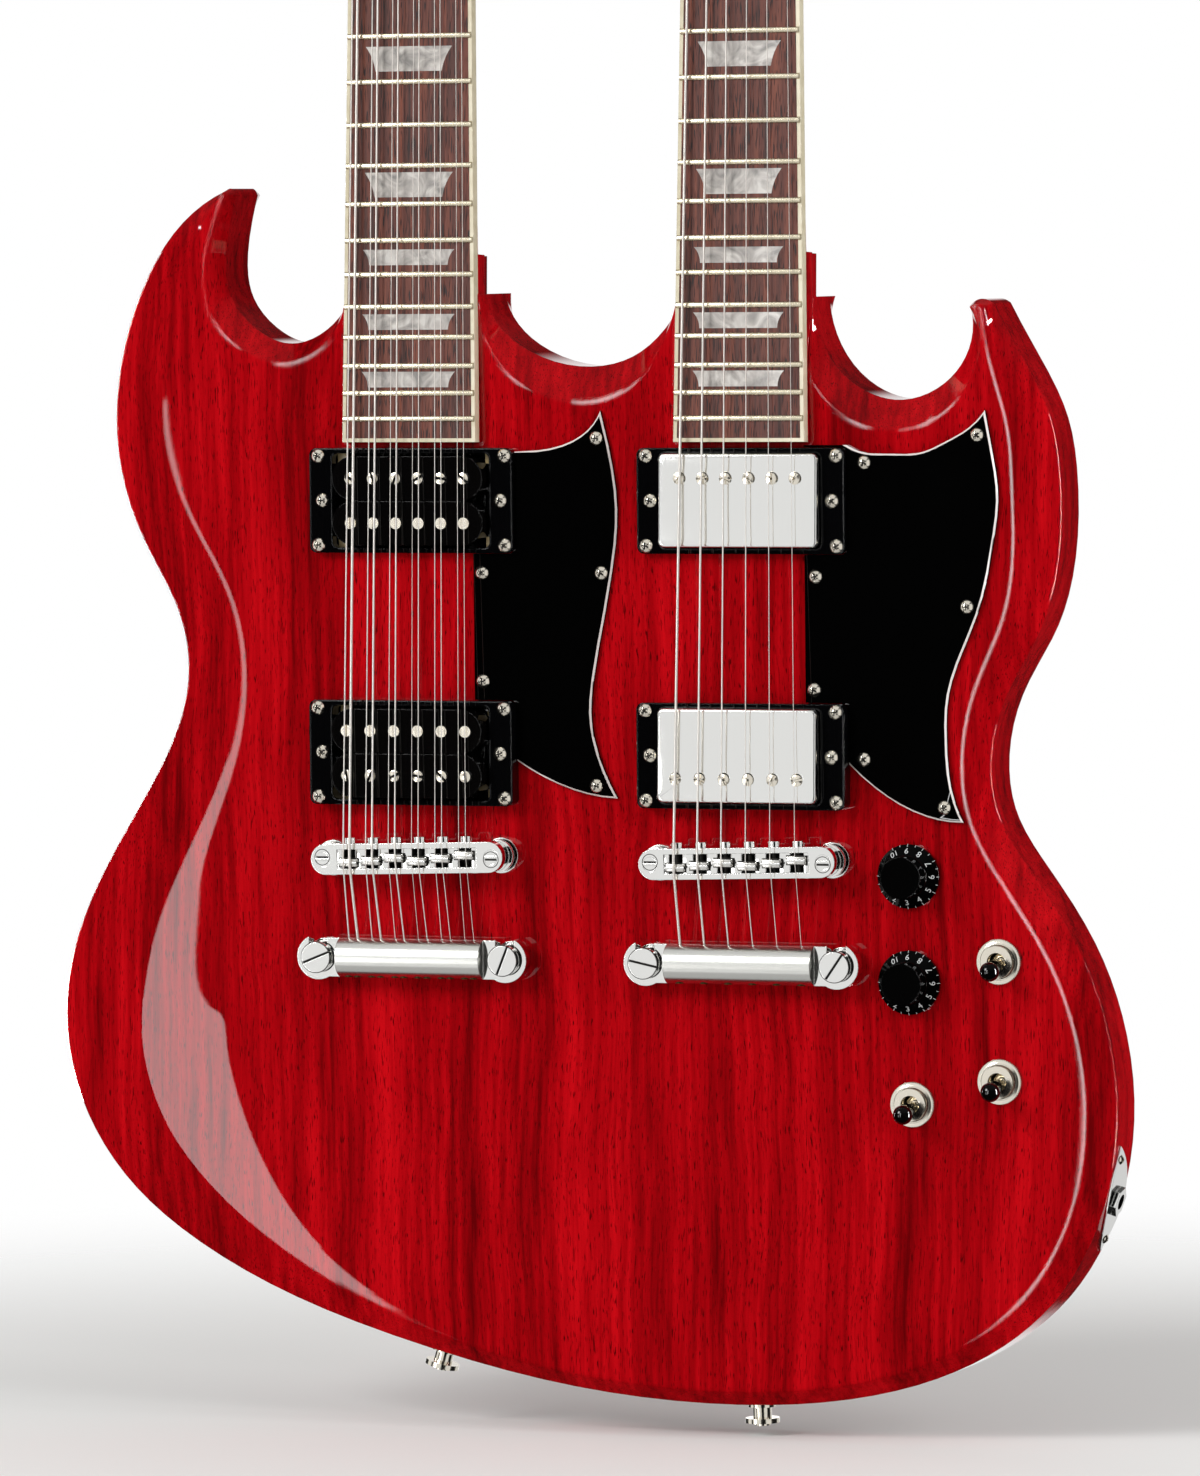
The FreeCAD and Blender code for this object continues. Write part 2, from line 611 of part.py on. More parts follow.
def adjust_screw_places(neck):
    """Height screws of both pickups of a neck, at the middle of the ring's ends."""
    places = []
    for z, height in ((NECK_RING_Z, NECK_RING_HEIGHT), (BRIDGE_RING_Z, BRIDGE_RING_HEIGHT)):
        for side in (-1, 1):
            places.append(at(neck.x + side * ADJUST_SCREW_ACROSS / 2, height, z))
    return places


def guard_point(neck, across_share, down_share):
    return neck.x + neck.guard_width * across_share, GUARD_TOP_Z - neck.guard_length * down_share


def guard_screw_places(neck):
    points = [guard_point(neck, across, down) for across, down in neck.guard_screws]
    return [at(x, GUARD_THICK, z) for x, z in points]


def truss_screw_places(neck):
    side = TRUSS_COVER_WIDTH / 2 - TRUSS_SCREW_INSET
    low = TRUSS_COVER_GAP + TRUSS_SCREW_INSET
    high = TRUSS_COVER_GAP + TRUSS_COVER_LENGTH - TRUSS_SCREW_INSET
    spots = ((-side, low), (side, low), (0, high))
    return [head_place(neck).multiply(at(x, TRUSS_COVER_THICK, z)) for x, z in spots]


def backwards(x, z, depth):
    """Place of a screw that is driven from the back, with its head's underside at a depth."""
    return FreeCAD.Placement(V(x, depth, z), FreeCAD.Rotation(UP, 180))


def control_corners():
    """Outline of the control cavity, round the knobs and switches."""
    left = KNOB_X - CONTROL_MARGIN
    top = KNOB_PLACES[0][1] + CONTROL_MARGIN
    right = SWITCH_X + CONTROL_SWITCH_MARGIN
    low = SWITCH_PLACES[2][1] - CONTROL_MARGIN
    shoulder = SWITCH_PLACES[0][1] + KNOB_RADIUS / 4
    return [(left, top), (KNOB_X + CONTROL_MARGIN, top), (right, shoulder), (right, low), (left, low)]


def rear_screw_places():
    corners = control_corners()
    middle_x = sum(x for x, z in corners) / len(corners)
    middle_z = sum(z for x, z in corners) / len(corners)
    places = []
    for x, z in corners:
        run = V(x - middle_x, 0, z - middle_z)
        spot = V(x, 0, z) + run.normalize() * (COVER_LIP / 2)
        places.append(backwards(spot.x, spot.z, BODY_THICK))
    return places


# Body

def outline_x(share):
    """Place across, from a share that counts the left edge, both necks and the right edge."""
    if share < 0:
        return share * BODY_LEFT
    if share < 1:
        return share * NECK_SPACING
    return NECK_SPACING + (share - 1) * BODY_RIGHT


def outline_loop():
    """The outline as stretches of points, each an x, a z, a bevel width and a shoulder width."""
    stretches = [OUTER_SIDE_SHARES, RIGHT_TIP_SHARES, RIGHT_CUTAWAY_SHARES,
                 (RIGHT_CUTAWAY_SHARES[-1], MIDDLE_CUTAWAY_SHARES[0]), MIDDLE_CUTAWAY_SHARES,
                 (MIDDLE_CUTAWAY_SHARES[-1], LEFT_CUTAWAY_SHARES[0]), LEFT_CUTAWAY_SHARES, LEFT_TIP_SHARES]
    loop = []
    for stretch in stretches:
        points = []
        for across, down, bevel, *rest in stretch:
            shoulder = rest[0] if rest else SHOULDER_LEAST_SHARE
            points.append((outline_x(across), BODY_TOP_Z - BODY_LENGTH * down,
                           BEVEL_WIDTH * bevel, SHOULDER_WIDTH * shoulder))
        loop.append(points)
    return loop


def moved_in(stretches, bevel_part, shoulder_part):
    """The stretches moved inwards by parts of both widths, with each point's shoulder width kept."""
    loop = [point for stretch in stretches for point in stretch[:-1]]
    count = len(loop)
    inner = []
    for index, (x, z, bevel, shoulder) in enumerate(loop):
        before = loop[index - 1]
        after = loop[(index + 1) % count]
        run = V(after[0] - before[0], 0, after[1] - before[1]).normalize()
        inset = bevel * bevel_part + shoulder * shoulder_part
        inner.append((x - run.z * inset, z + run.x * inset, shoulder))
    inner.append(inner[0])
    moved = []
    start = 0
    for stretch in stretches:
        end = start + len(stretch) - 1
        moved.append(inner[start:end + 1])
        start = end
    return moved


def outline_wire(bevel_part, shoulder_part, height, dip=0.0):
    """The outline moved in by parts of both widths, dipping most where the shoulder is widest."""
    edges = []
    for stretch in moved_in(outline_loop(), bevel_part, shoulder_part):
        points = [pt(x, height - dip * shoulder / SHOULDER_WIDTH, z) for x, z, shoulder in stretch]
        edges.append(smooth(points) if len(points) > 2 else Part.makeLine(points[0], points[1]))
    return Part.Wire(edges)


def body_blank():
    """The body before any hole or pocket: a flat front, a shoulder, a bevel, a wall and a back bevel."""
    wires = [
        outline_wire(1.0, 1.0, 0),
        outline_wire(1.0, 0.0, 0, SHOULDER_DEPTH),
        outline_wire(0.0, 0.0, -BEVEL_DEPTH),
        outline_wire(0.0, 0.0, BEVEL_DEPTH - BODY_THICK),
        outline_wire(1.0, 0.0, -BODY_THICK),
    ]
    return Part.makeLoft(wires, True, True)


def wall_point(x_guess, z, side):
    """Where the wall's middle line crosses a level, with the outward direction there."""
    wire = outline_wire(0.0, 0.0, 0)
    spots = []
    for level in (z - CUT, z, z + CUT):
        far = x_guess + side * BODY_WIDTH
        line = Part.makeLine(pt(x_guess, 0, level), pt(far, 0, level))
        spots.append(wire.distToShape(line)[1][0][0])
    run = (spots[2] - spots[0]).normalize()
    return spots[1], V(run.z, 0, -run.x) * side


def foot_point(x):
    """Where the body's lower edge crosses an upright line, with the outward direction there."""
    wire = outline_wire(0.0, 0.0, 0)
    spots = []
    for place in (x - CUT, x, x + CUT):
        line = Part.makeLine(pt(place, 0, BRIDGE_Z), pt(place, 0, BODY_TOP_Z - BODY_LENGTH - BODY_WIDTH))
        spots.append(wire.distToShape(line)[1][0][0])
    run = (spots[2] - spots[0]).normalize()
    return spots[1], V(run.z, 0, -run.x)


def strap_places():
    """Frames of the strap buttons, with OUT turned to point away from the wood."""
    places = []
    for x in (STRAP_X_FIRST, STRAP_X_SECOND):
        spot, away = foot_point(x)
        places.append(FreeCAD.Placement(V(spot.x, BODY_THICK / 2, spot.z), FreeCAD.Rotation(OUT, away)))
    places.append(backwards(STRAP_BACK_X, BODY_TOP_Z - STRAP_BACK_DROP, BODY_THICK))
    return places


def jack_place():
    """Frame of the output jack, with OUT turned to point out of the wall."""
    spot, away = wall_point(KNOB_X, JACK_Z, 1)
    return FreeCAD.Placement(V(spot.x, BODY_THICK / 2, spot.z), FreeCAD.Rotation(OUT, away))


def pickup_cavities():
    cutters = []
    for neck in NECKS:
        for z in (NECK_RING_Z, BRIDGE_RING_Z):
            width = PICKUP_WIDTH + 2 * CAVITY_SIDE
            length = PICKUP_LENGTH + CAVITY_SIDE
            cutters.append(plate(neck.x, z, width, length, RING_CORNER, -CAVITY_DEPTH, CUT))
            lug_width = LUG_STRIP_LENGTH + CAVITY_SIDE
            lug_length = LUG_STRIP_WIDTH + CAVITY_SIDE
            cutters.append(plate(neck.x, z, lug_width, lug_length, RING_CORNER, -CAVITY_DEPTH, CUT))
    return cutters


def control_cutters():
    """Control cavity, its cover's recess, and the holes for pots and switches."""
    corners = control_corners()
    pocket = prism(corners, -BODY_THICK - CUT, -CONTROL_FLOOR)
    cutters = [pocket, cover_slab(COVER_LIP, BODY_THICK - REAR_COVER_THICK, BODY_THICK + CUT)]
    cutters += [disc(x, z, POT_BUSH_RADIUS, -CONTROL_FLOOR - CUT, CUT) for x, z in KNOB_PLACES]
    cutters += [disc(x, z, SWITCH_BUSH_RADIUS, -CONTROL_FLOOR - CUT, CUT) for x, z in SWITCH_PLACES]
    return cutters


def cover_slab(lip, near, far):
    """The rear cover's outline, a lip wider than the cavity, between two depths."""
    corners = [V(x, near, z) for x, z in control_corners()]
    wire = Part.makePolygon(corners + corners[:1]).makeOffset2D(lip, 0)
    return Part.Face(wire).extrude(OUT * (near - far))


def wire_runs():
    """End points of the straight drilled wire channels."""
    depth = -WIRE_DEPTH
    reach = PICKUP_WIDTH / 4
    runs = []
    for neck in NECKS:
        x = neck.x + reach
        runs.append((pt(x, depth, NECK_RING_Z - PICKUP_LENGTH / 2),
                     pt(x, depth, BRIDGE_RING_Z + PICKUP_LENGTH / 2)))
    runs.append((pt(PICKUP_WIDTH / 2, depth, BRIDGE_RING_Z),
                 pt(NECK_SPACING - PICKUP_WIDTH / 2, depth, BRIDGE_RING_Z)))
    runs.append((pt(NECK_SPACING + reach, depth, BRIDGE_RING_Z - PICKUP_LENGTH / 2),
                 pt(KNOB_X - CONTROL_MARGIN, depth, KNOB_PLACES[0][1])))
    return runs


def wire_tube(run, radius, overrun):
    start, end = run
    direction = (end - start).normalize()
    length = (end - start).Length + 2 * overrun
    return Part.makeCylinder(radius, length, start - direction * overrun, direction)


def jack_seat(frame):
    """Curved shallow seat and bore of the output jack."""
    outside = JACK_SEAT_DEPTH + JACK_SEAT_RADIUS
    lens = jack_outline(-BODY_THICK / 4, BODY_THICK / 4)
    drum = Part.makeCylinder(JACK_SEAT_RADIUS, 2 * BODY_THICK, V(0, outside, 0) - ACROSS * BODY_THICK, ACROSS)
    reach = frame.Base.x - SWITCH_X - CONTROL_SWITCH_MARGIN
    bore = disc(0, 0, JACK_HOLE_RADIUS, -reach - JACK_TUBE_LENGTH / 2, CUT)
    return [placed(lens.cut(drum), frame), placed(bore, frame)]


def jack_outline(low, high):
    """The jack plate's pointed oval, along the wall and between two heights above it."""
    half_width = JACK_PLATE_WIDTH / 2
    half_length = JACK_PLATE_LENGTH / 2
    arcs = [
        Part.Arc(pt(0, low, half_length), pt(half_width, low, 0), pt(0, low, -half_length)).toShape(),
        Part.Arc(pt(0, low, -half_length), pt(-half_width, low, 0), pt(0, low, half_length)).toShape(),
    ]
    return Part.Face(Part.Wire(arcs)).extrude(OUT * (high - low))


def insert_places():
    """Frames of the threaded inserts of the bridges and the tailpieces."""
    places = []
    for neck in NECKS:
        for side in (-1, 1):
            places.append(bridge_place(neck).multiply(at(side * POST_SPACING / 2, 0, 0)))
            places.append(at(neck.x + side * TAIL_STUD_SPACING / 2, 0, TAIL_Z))
    return places


def screw_holes():
    """Every hole that a screw fills in the body's wood."""
    holes = []
    for neck in NECKS:
        for place in ring_screw_places(neck):
            holes.append(shank(place, 1.0, SCREW_LENGTH + place.Base.y * -1))
        holes += [shank(place) for place in guard_screw_places(neck)]
    holes += [shank(place) for place in rear_screw_places()]
    for place in strap_places():
        holes.append(placed(disc(0, 0, STRAP_SCREW_RADIUS, STRAP_HEIGHT - STRAP_SCREW_LENGTH, CUT), place))
    holes += [shank(place, SMALL_SCREW_SHARE) for place in jack_screw_places()]
    return holes


def board_room(neck):
    """Space that a fingerboard takes in the top of the body's face."""
    return placed(prism(board_plan(neck, 0), -BOARD_THICK, BOARD_THICK), neck_place(neck))


def body(blank, necks):
    cutters = pickup_cavities() + control_cutters() + jack_seat(jack_place()) + screw_holes()
    cutters += [wire_tube(run, WIRE_CHANNEL_RADIUS, CAVITY_SIDE) for run in wire_runs()]
    cutters += [placed(disc(0, 0, INSERT_RADIUS, -INSERT_DEPTH, CUT), place) for place in insert_places()]
    return blank.cut(necks + [board_room(neck) for neck in NECKS]).cut(cutters)


# Necks

def board_width(neck, z):
    return neck.nut_width + (neck.end_width - neck.nut_width) * -z / BOARD_LENGTH


def shaft_wire(neck, z, depth):
    """Round-backed section of a neck under its board."""
    half = board_width(neck, min(z, 0)) / 2
    left = pt(-half, -BOARD_THICK, z)
    right = pt(half, -BOARD_THICK, z)
    arc = Part.Arc(left, pt(0, -BOARD_THICK - depth, z), right).toShape()
    return Part.Wire([Part.makeLine(right, left), arc])


def shaft(neck):
    """Neck shaft from behind the nut to the heel, in the neck's frame."""
    wires = [
        shaft_wire(neck, NUT_THICK + SHAFT_OVERLAP, SHAFT_DEPTH_NUT),
        shaft_wire(neck, 0, SHAFT_DEPTH_NUT),
        shaft_wire(neck, -HEEL_START, SHAFT_DEPTH_HEEL),
    ]
    return Part.makeLoft(wires, True, True)


def heel(neck):
    """The heel, which deepens from the shaft to the body in a hollow curve."""
    wires = []
    for along, deep in HEEL_DEPTH_SHARES:
        z = -HEEL_START - (HEEL_END - HEEL_START) * along
        wires.append(shaft_wire(neck, z, SHAFT_DEPTH_HEEL + (HEEL_DEPTH - SHAFT_DEPTH_HEEL) * deep))
    return Part.makeLoft(wires, True, True)


def head_outline(neck):
    """Edges of a headstock's front: a flared base, long sides and an arched top."""
    half = HEAD_WIDTH / 2
    length = neck.head_length
    base = neck.nut_width / 2
    reach = half - base
    side = [(base, 0.0)]
    side += [(base + reach * across, length * along) for across, along in HEAD_FLARE_SHARES]
    side.append((half, length * (HEAD_FLARE_SHARES[-1][1] * 2 - HEAD_FLARE_SHARES[0][1])))
    right = [pt(x, 0, z) for x, z in side]
    left = [pt(-x, 0, z) for x, z in reversed(side)]
    corner_right = pt(half * HEAD_TOP_SHARE, 0, length - HEAD_ARCH)
    corner_left = pt(-half * HEAD_TOP_SHARE, 0, length - HEAD_ARCH)
    return Part.Wire([
        smooth(right),
        Part.makeLine(right[-1], corner_right),
        Part.Arc(corner_right, pt(0, 0, length), corner_left).toShape(),
        Part.makeLine(corner_left, left[0]),
        smooth(left),
        Part.makeLine(left[-1], right[0]),
    ])


def post_places(neck):
    """Post centres on a headstock, one for each string from the low side: x, z and key side."""
    count = len(neck.diameters)
    rows = count // 2
    places = []
    for index in range(count):
        side = -1 if index < rows else 1
        row = index if index < rows else count - 1 - index
        places.append((side * (HEAD_WIDTH / 2 - POST_INSET), neck.first_post + row * neck.post_pitch, side))
    return places


def headstock(neck):
    """Headstock with its post holes, in the head's frame."""
    slab = Part.Face(head_outline(neck)).extrude(OUT * -HEAD_THICK)
    holes = [disc(x, z, BUSH_RADIUS, -HEAD_THICK - CUT, CUT) for x, z, side in post_places(neck)]
    return slab.cut(holes)


def truss_rod(neck):
    """Rod under the board with its adjusting nut in the headstock, in the neck's frame."""
    height = -BOARD_THICK - ROD_CHANNEL_DEPTH + ROD_RADIUS
    bar = Part.makeCylinder(ROD_RADIUS, ROD_LENGTH + NUT_THICK, pt(0, height, -ROD_LENGTH), UP)
    nut = Part.makeCylinder(ROD_NUT_RADIUS, ROD_NUT_LENGTH, pt(0, height, NUT_THICK), UP)
    return bar.fuse(nut).removeSplitter()


def rod_cutters(neck):
    """Channel and head pocket of the truss rod, in the neck's frame."""
    half = ROD_CHANNEL_WIDTH / 2
    low = -BOARD_THICK - ROD_CHANNEL_DEPTH
    channel = block(-half, half, -ROD_LENGTH, NUT_THICK + CUT, low, -BOARD_THICK)
    pocket_half = ROD_POCKET_WIDTH / 2
    pocket = block(-pocket_half, pocket_half, NUT_THICK, NUT_THICK + ROD_POCKET_LENGTH,
                   low - ROD_NUT_RADIUS + ROD_RADIUS, -BOARD_THICK + CUT)
    return [channel, pocket]


def neck_blank(neck, blank):
    """One neck's wood before its holes: headstock, shaft, heel, and the tongue and tenon in the body."""
    frame = neck_place(neck)
    front = block(-HEAD_WIDTH, HEAD_WIDTH, 0, HEAD_WIDTH, 0, HEAD_WIDTH)
    lower_head = placed(front, head_place(neck))
    outside = placed(shaft(neck), frame).cut(lower_head)
    outside = outside.fuse([placed(heel(neck), frame), placed(headstock(neck), head_place(neck))]).cut(blank)
    half_end = board_width(neck, -BOARD_LENGTH) / 2
    half_start = board_width(neck, -TENON_START) / 2
    plan = [(-half_start, -TENON_START), (half_start, -TENON_START),
            (half_end, -BOARD_LENGTH), (-half_end, -BOARD_LENGTH)]
    tongue = prism(plan, -BOARD_THICK - TONGUE_DEPTH, -BOARD_THICK)
    half_tenon = TENON_WIDTH / 2
    tenon = block(-half_tenon, half_tenon, -BOARD_LENGTH, -TENON_START,
                  -BOARD_THICK - TENON_DEPTH, -BOARD_THICK)
    return outside.fuse([placed(tongue, frame), placed(tenon, frame)])


def neck_wood(neck, whole):
    """A neck's wood with the truss rod's channel and every screw hole."""
    cutters = [placed(cutter, neck_place(neck)) for cutter in rod_cutters(neck)]
    small = truss_screw_places(neck) + lug_screw_places(neck)
    cutters += [shank(place, SMALL_SCREW_SHARE) for place in small]
    return max(whole.cut(cutters).removeSplitter().Solids, key=lambda solid: solid.Volume)


# Fingerboards

def board_plan(neck, inset):
    """Plan of a board, in from its sides and lower end by an inset."""
    top = neck.nut_width / 2 - inset
    slope = (neck.end_width - neck.nut_width) / 2 / BOARD_LENGTH
    low = top + slope * (BOARD_LENGTH - inset)
    return [(-top, 0), (top, 0), (low, inset - BOARD_LENGTH), (-low, inset - BOARD_LENGTH)]


def board_drum(radius):
    """Long cylinder whose surface is the curved top of a board at the given radius."""
    return Part.makeCylinder(radius, BOARD_LENGTH + 2 * CUT, pt(0, -BOARD_RADIUS, -BOARD_LENGTH - CUT), UP)


def sector(profile, half_angle):
    """Sweeps a section across the curved board, by an angle each way from its middle."""
    face = Part.Face(Part.Wire(profile))
    face.rotate(pt(0, -BOARD_RADIUS, 0), UP, -half_angle)
    return face.revolve(pt(0, -BOARD_RADIUS, 0), UP, 2 * half_angle)


def fret(neck, number):
    z = fret_z(number)
    half = board_width(neck, z) / 2
    left = pt(0, 0, z - FRET_WIDTH / 2)
    right = pt(0, 0, z + FRET_WIDTH / 2)
    crown = [Part.Arc(left, pt(0, FRET_HEIGHT, z), right).toShape(), Part.makeLine(right, left)]
    crown_angle = math.degrees(math.asin((half - FRET_END_INSET) / BOARD_RADIUS))
    tang_angle = math.degrees(math.asin((half - BINDING_THICK - TANG_END_GAP) / BOARD_RADIUS))
    corners = [pt(0, height, z + side * TANG_WIDTH / 2)
               for height, side in ((0, -1), (0, 1), (-TANG_DEPTH, 1), (-TANG_DEPTH, -1))]
    tang = Part.makePolygon(corners + corners[:1]).Edges
    return sector(crown, crown_angle).fuse(sector(tang, tang_angle)).removeSplitter()


def inlay_blank(neck, number):
    """A tall block with an inlay's outline: wide side up, with hollow ends."""
    upper = fret_z(number - 1)
    lower = fret_z(number)
    middle = (upper + lower) / 2
    tall = number <= LAST_TALL_INLAY
    length = INLAY_TALL if tall else INLAY_SHORT
    top_share, low_share = TALL_INLAY_SHARES if tall else SHORT_INLAY_SHARES
    width = board_width(neck, middle)
    top = width * top_share / 2
    low = width * low_share / 2
    waist = (top + low) / 2 - INLAY_WAIST
    high = BOARD_THICK
    corners = [pt(-top, -high, middle + length / 2), pt(top, -high, middle + length / 2),
               pt(low, -high, middle - length / 2), pt(-low, -high, middle - length / 2)]
    wire = Part.Wire([
        Part.makeLine(corners[0], corners[1]),
        Part.Arc(corners[1], pt(waist, -high, middle), corners[2]).toShape(),
        Part.makeLine(corners[2], corners[3]),
        Part.Arc(corners[3], pt(-waist, -high, middle), corners[0]).toShape(),
    ])
    return Part.Face(wire).extrude(OUT * (2 * high))


def fingerboard(neck):
    """Board with fret slots and inlay pockets, its binding, frets and inlays."""
    frame = neck_place(neck)
    drum = board_drum(BOARD_RADIUS)
    skin = drum.cut(board_drum(BOARD_RADIUS - INLAY_DEPTH))
    inner = prism(board_plan(neck, BINDING_THICK), -BOARD_THICK, BOARD_THICK).common(drum)
    outer = prism(board_plan(neck, 0), -BOARD_THICK, BOARD_THICK).common(drum)
    binding = outer.cut(prism(board_plan(neck, BINDING_THICK), -BOARD_THICK - CUT, BOARD_THICK + CUT))
    inlays = [inlay_blank(neck, number).common(skin) for number in INLAY_FRETS]
    half = neck.end_width
    floor = board_drum(BOARD_RADIUS - SLOT_DEPTH)
    slots = []
    for number in range(1, FRET_COUNT + 1):
        z = fret_z(number)
        slots.append(block(-half, half, z - TANG_WIDTH / 2, z + TANG_WIDTH / 2, -BOARD_THICK, CUT).cut(floor))
    board = inner.cut(inlays).cut(slots)
    frets = [fret(neck, number) for number in range(1, FRET_COUNT + 1)]
    groups = ([board], [binding], frets, inlays)
    return [[placed(solid, frame) for solid in solids_of(group)] for group in groups]


def nut(neck):
    """Slotted nut, with each slot's floor under its string."""
    half = neck.nut_width / 2
    bone = block(-half, half, 0, NUT_THICK, -BOARD_THICK, NUT_RISE)
    slots = []
    for x, diameter in zip(neck.nut_places, neck.diameters):
        reach = diameter / 2 + NUT_SLOT_CLEARANCE
        low = nut_string_height(x) - diameter / 2
        slots.append(block(x - reach, x + reach, -CUT, NUT_THICK + CUT, low, NUT_RISE + CUT))
    return placed(bone.cut(slots), neck_place(neck))


def nut_string_height(x):
    return NUT_STRING_HEIGHT - x ** 2 / (2 * BOARD_RADIUS)


# Tuners

def key_height():
    """Height of the worm's axis in the head's frame."""
    return -HEAD_THICK - HOUSING_DEPTH / 2


def worm_drop():
    """How far the worm's axis lies below the post's, along the head."""
    return GEAR_RADIUS + WORM_RADIUS + WORM_GAP


def tuner_place(neck, index):
    """Frame of one tuner: on the head's front at the post's axis."""
    x, z = post_places(neck)[index][:2]
    return head_place(neck).multiply(at(x, 0, z))


def seated(shape, neck, index):
    """A tuner piece in its place. Those on the left edge are mirror images of those on the right."""
    side = post_places(neck)[index][2]
    piece = shape if side > 0 else shape.mirror(V(0, 0, 0), ACROSS)
    return placed(piece, tuner_place(neck, index))


def tuner_post():
    """String post with its waist, cross hole and gear wheel."""
    post = disc(0, 0, POST_RADIUS, key_height() - GEAR_THICK, POST_TOP)
    waist = disc(0, 0, POST_RADIUS + CUT, POST_WAIST_LOW, POST_WAIST_HIGH)
    waist = waist.cut(disc(0, 0, POST_WAIST_RADIUS, POST_WAIST_LOW, POST_WAIST_HIGH))
    hole_height = POST_WAIST_HIGH - POST_HOLE_RADIUS - POST_CLEARANCE
    hole = Part.makeCylinder(POST_HOLE_RADIUS, 2 * POST_RADIUS + 2 * CUT,
                             pt(0, hole_height, -POST_RADIUS - CUT), UP)
    gear = disc(0, 0, GEAR_RADIUS, key_height() - GEAR_THICK / 2, key_height() + GEAR_THICK / 2)
    return post.cut([waist, hole]).fuse(gear).removeSplitter()


def tuner_key():
    """Key: a rounded button on a shaft whose inner end is the worm."""
    height = key_height()
    z = -worm_drop()
    edge = HOUSING_WIDTH / 2
    start = edge + KEY_NECK
    shaft_bar = rod(-WORM_LENGTH / 2, start + BUTTON_LENGTH / 2, height, z, KEY_SHAFT_RADIUS)
    worm = rod(-WORM_LENGTH / 2, WORM_LENGTH / 2, height, z, WORM_RADIUS)
    inner = edge + KEY_COLLAR_GAP
    collar = rod(inner, inner + KEY_COLLAR_LENGTH, height, z, KEY_COLLAR_RADIUS)
    button = block(start, start + BUTTON_LENGTH, z - BUTTON_WIDTH / 2, z + BUTTON_WIDTH / 2,
                   height - BUTTON_THICK / 2, height + BUTTON_THICK / 2)
    button = button.makeFillet(BUTTON_CORNER, button.Edges)
    return shaft_bar.fuse([worm, collar, button]).removeSplitter()


def lug_point():
    """Place of the housing's screw lug, in the tuner's frame."""
    return 0.0, HOUSING_ABOVE + LUG_REACH


def tuner_housing():
    """Closed housing with a screw lug, hollow for the gears, and the bushing through the head."""
    half = HOUSING_WIDTH / 2
    low = -HEAD_THICK - HOUSING_DEPTH
    shell = block(-half, half, -HOUSING_BELOW, HOUSING_ABOVE, low, -HEAD_THICK)
    shell = shell.makeFillet(HOUSING_CORNER, edges_along(shell, OUT))
    hollow = block(-half + HOUSING_WALL, half - HOUSING_WALL, HOUSING_WALL - HOUSING_BELOW,
                   HOUSING_ABOVE - HOUSING_WALL, low + HOUSING_WALL, -HEAD_THICK - HOUSING_WALL)
    lug_x, lug_z = lug_point()
    lug = disc(lug_x, lug_z, LUG_RADIUS, -HEAD_THICK - LUG_THICK, -HEAD_THICK)
    lug_hole = disc(lug_x, lug_z, SCREW_SHANK_RADIUS * SMALL_SCREW_SHARE,
                    -HEAD_THICK - LUG_THICK - CUT, CUT - HEAD_THICK)
    key_hole = rod(0, half + CUT, key_height(), -worm_drop(), KEY_SHAFT_RADIUS + POST_CLEARANCE)
    post_hole = disc(0, 0, POST_RADIUS + POST_CLEARANCE, -HEAD_THICK - HOUSING_WALL - CUT, CUT - HEAD_THICK)
    case = shell.fuse(lug).cut([hollow, lug_hole, key_hole, post_hole]).removeSplitter()
    sleeve = disc(0, 0, BUSH_RADIUS, -HEAD_THICK, 0).fuse(hexagon(0, 0, BUSH_NUT_RADIUS, 0, BUSH_NUT_HEIGHT))
    bushing = sleeve.cut(disc(0, 0, POST_RADIUS + POST_CLEARANCE, -HEAD_THICK - CUT, BUSH_NUT_HEIGHT + CUT))
    return [case, bushing.removeSplitter()]


def lug_screw_places(neck):
    """Places of the small screws that hold the tuner housings, driven from the back."""
    lug_x, lug_z = lug_point()
    places = []
    for index in range(len(neck.diameters)):
        spot = FreeCAD.Placement(pt(lug_x, -HEAD_THICK - LUG_THICK, lug_z), FreeCAD.Rotation(UP, 180))
        places.append(tuner_place(neck, index).multiply(spot))
    return places


# Strings

def saddle_string_height(x):
    """Height of a string's middle where it crosses its saddle."""
    board_top = BOARD_LIFT + SLOPE * (-BRIDGE_Z - BOARD_LENGTH)
    return board_top + NUT_STRING_HEIGHT + ACTION_RISE - x ** 2 / (2 * BOARD_RADIUS)


def saddle_shift(index, count):
    """How far a string's saddle lies towards the nut from the bridge's middle."""
    return SADDLE_SHIFT * SADDLE_SHIFT_SHARES[index * len(SADDLE_SHIFT_SHARES) // count]


def round_wire(path, radius):
    """Round wire along straight runs, mitred at its bends."""
    runs = [(end - start).normalize() for start, end in zip(path, path[1:])]
    circles = []
    for index, point in enumerate(path):
        facing = runs[max(index - 1, 0)] + runs[min(index, len(runs) - 1)]
        circle = Part.Wire(Part.makeCircle(radius))
        circle.Placement = FreeCAD.Placement(point, FreeCAD.Rotation(UP, facing))
        circles.append(circle)
    return Part.makeLoft(circles, True, True)


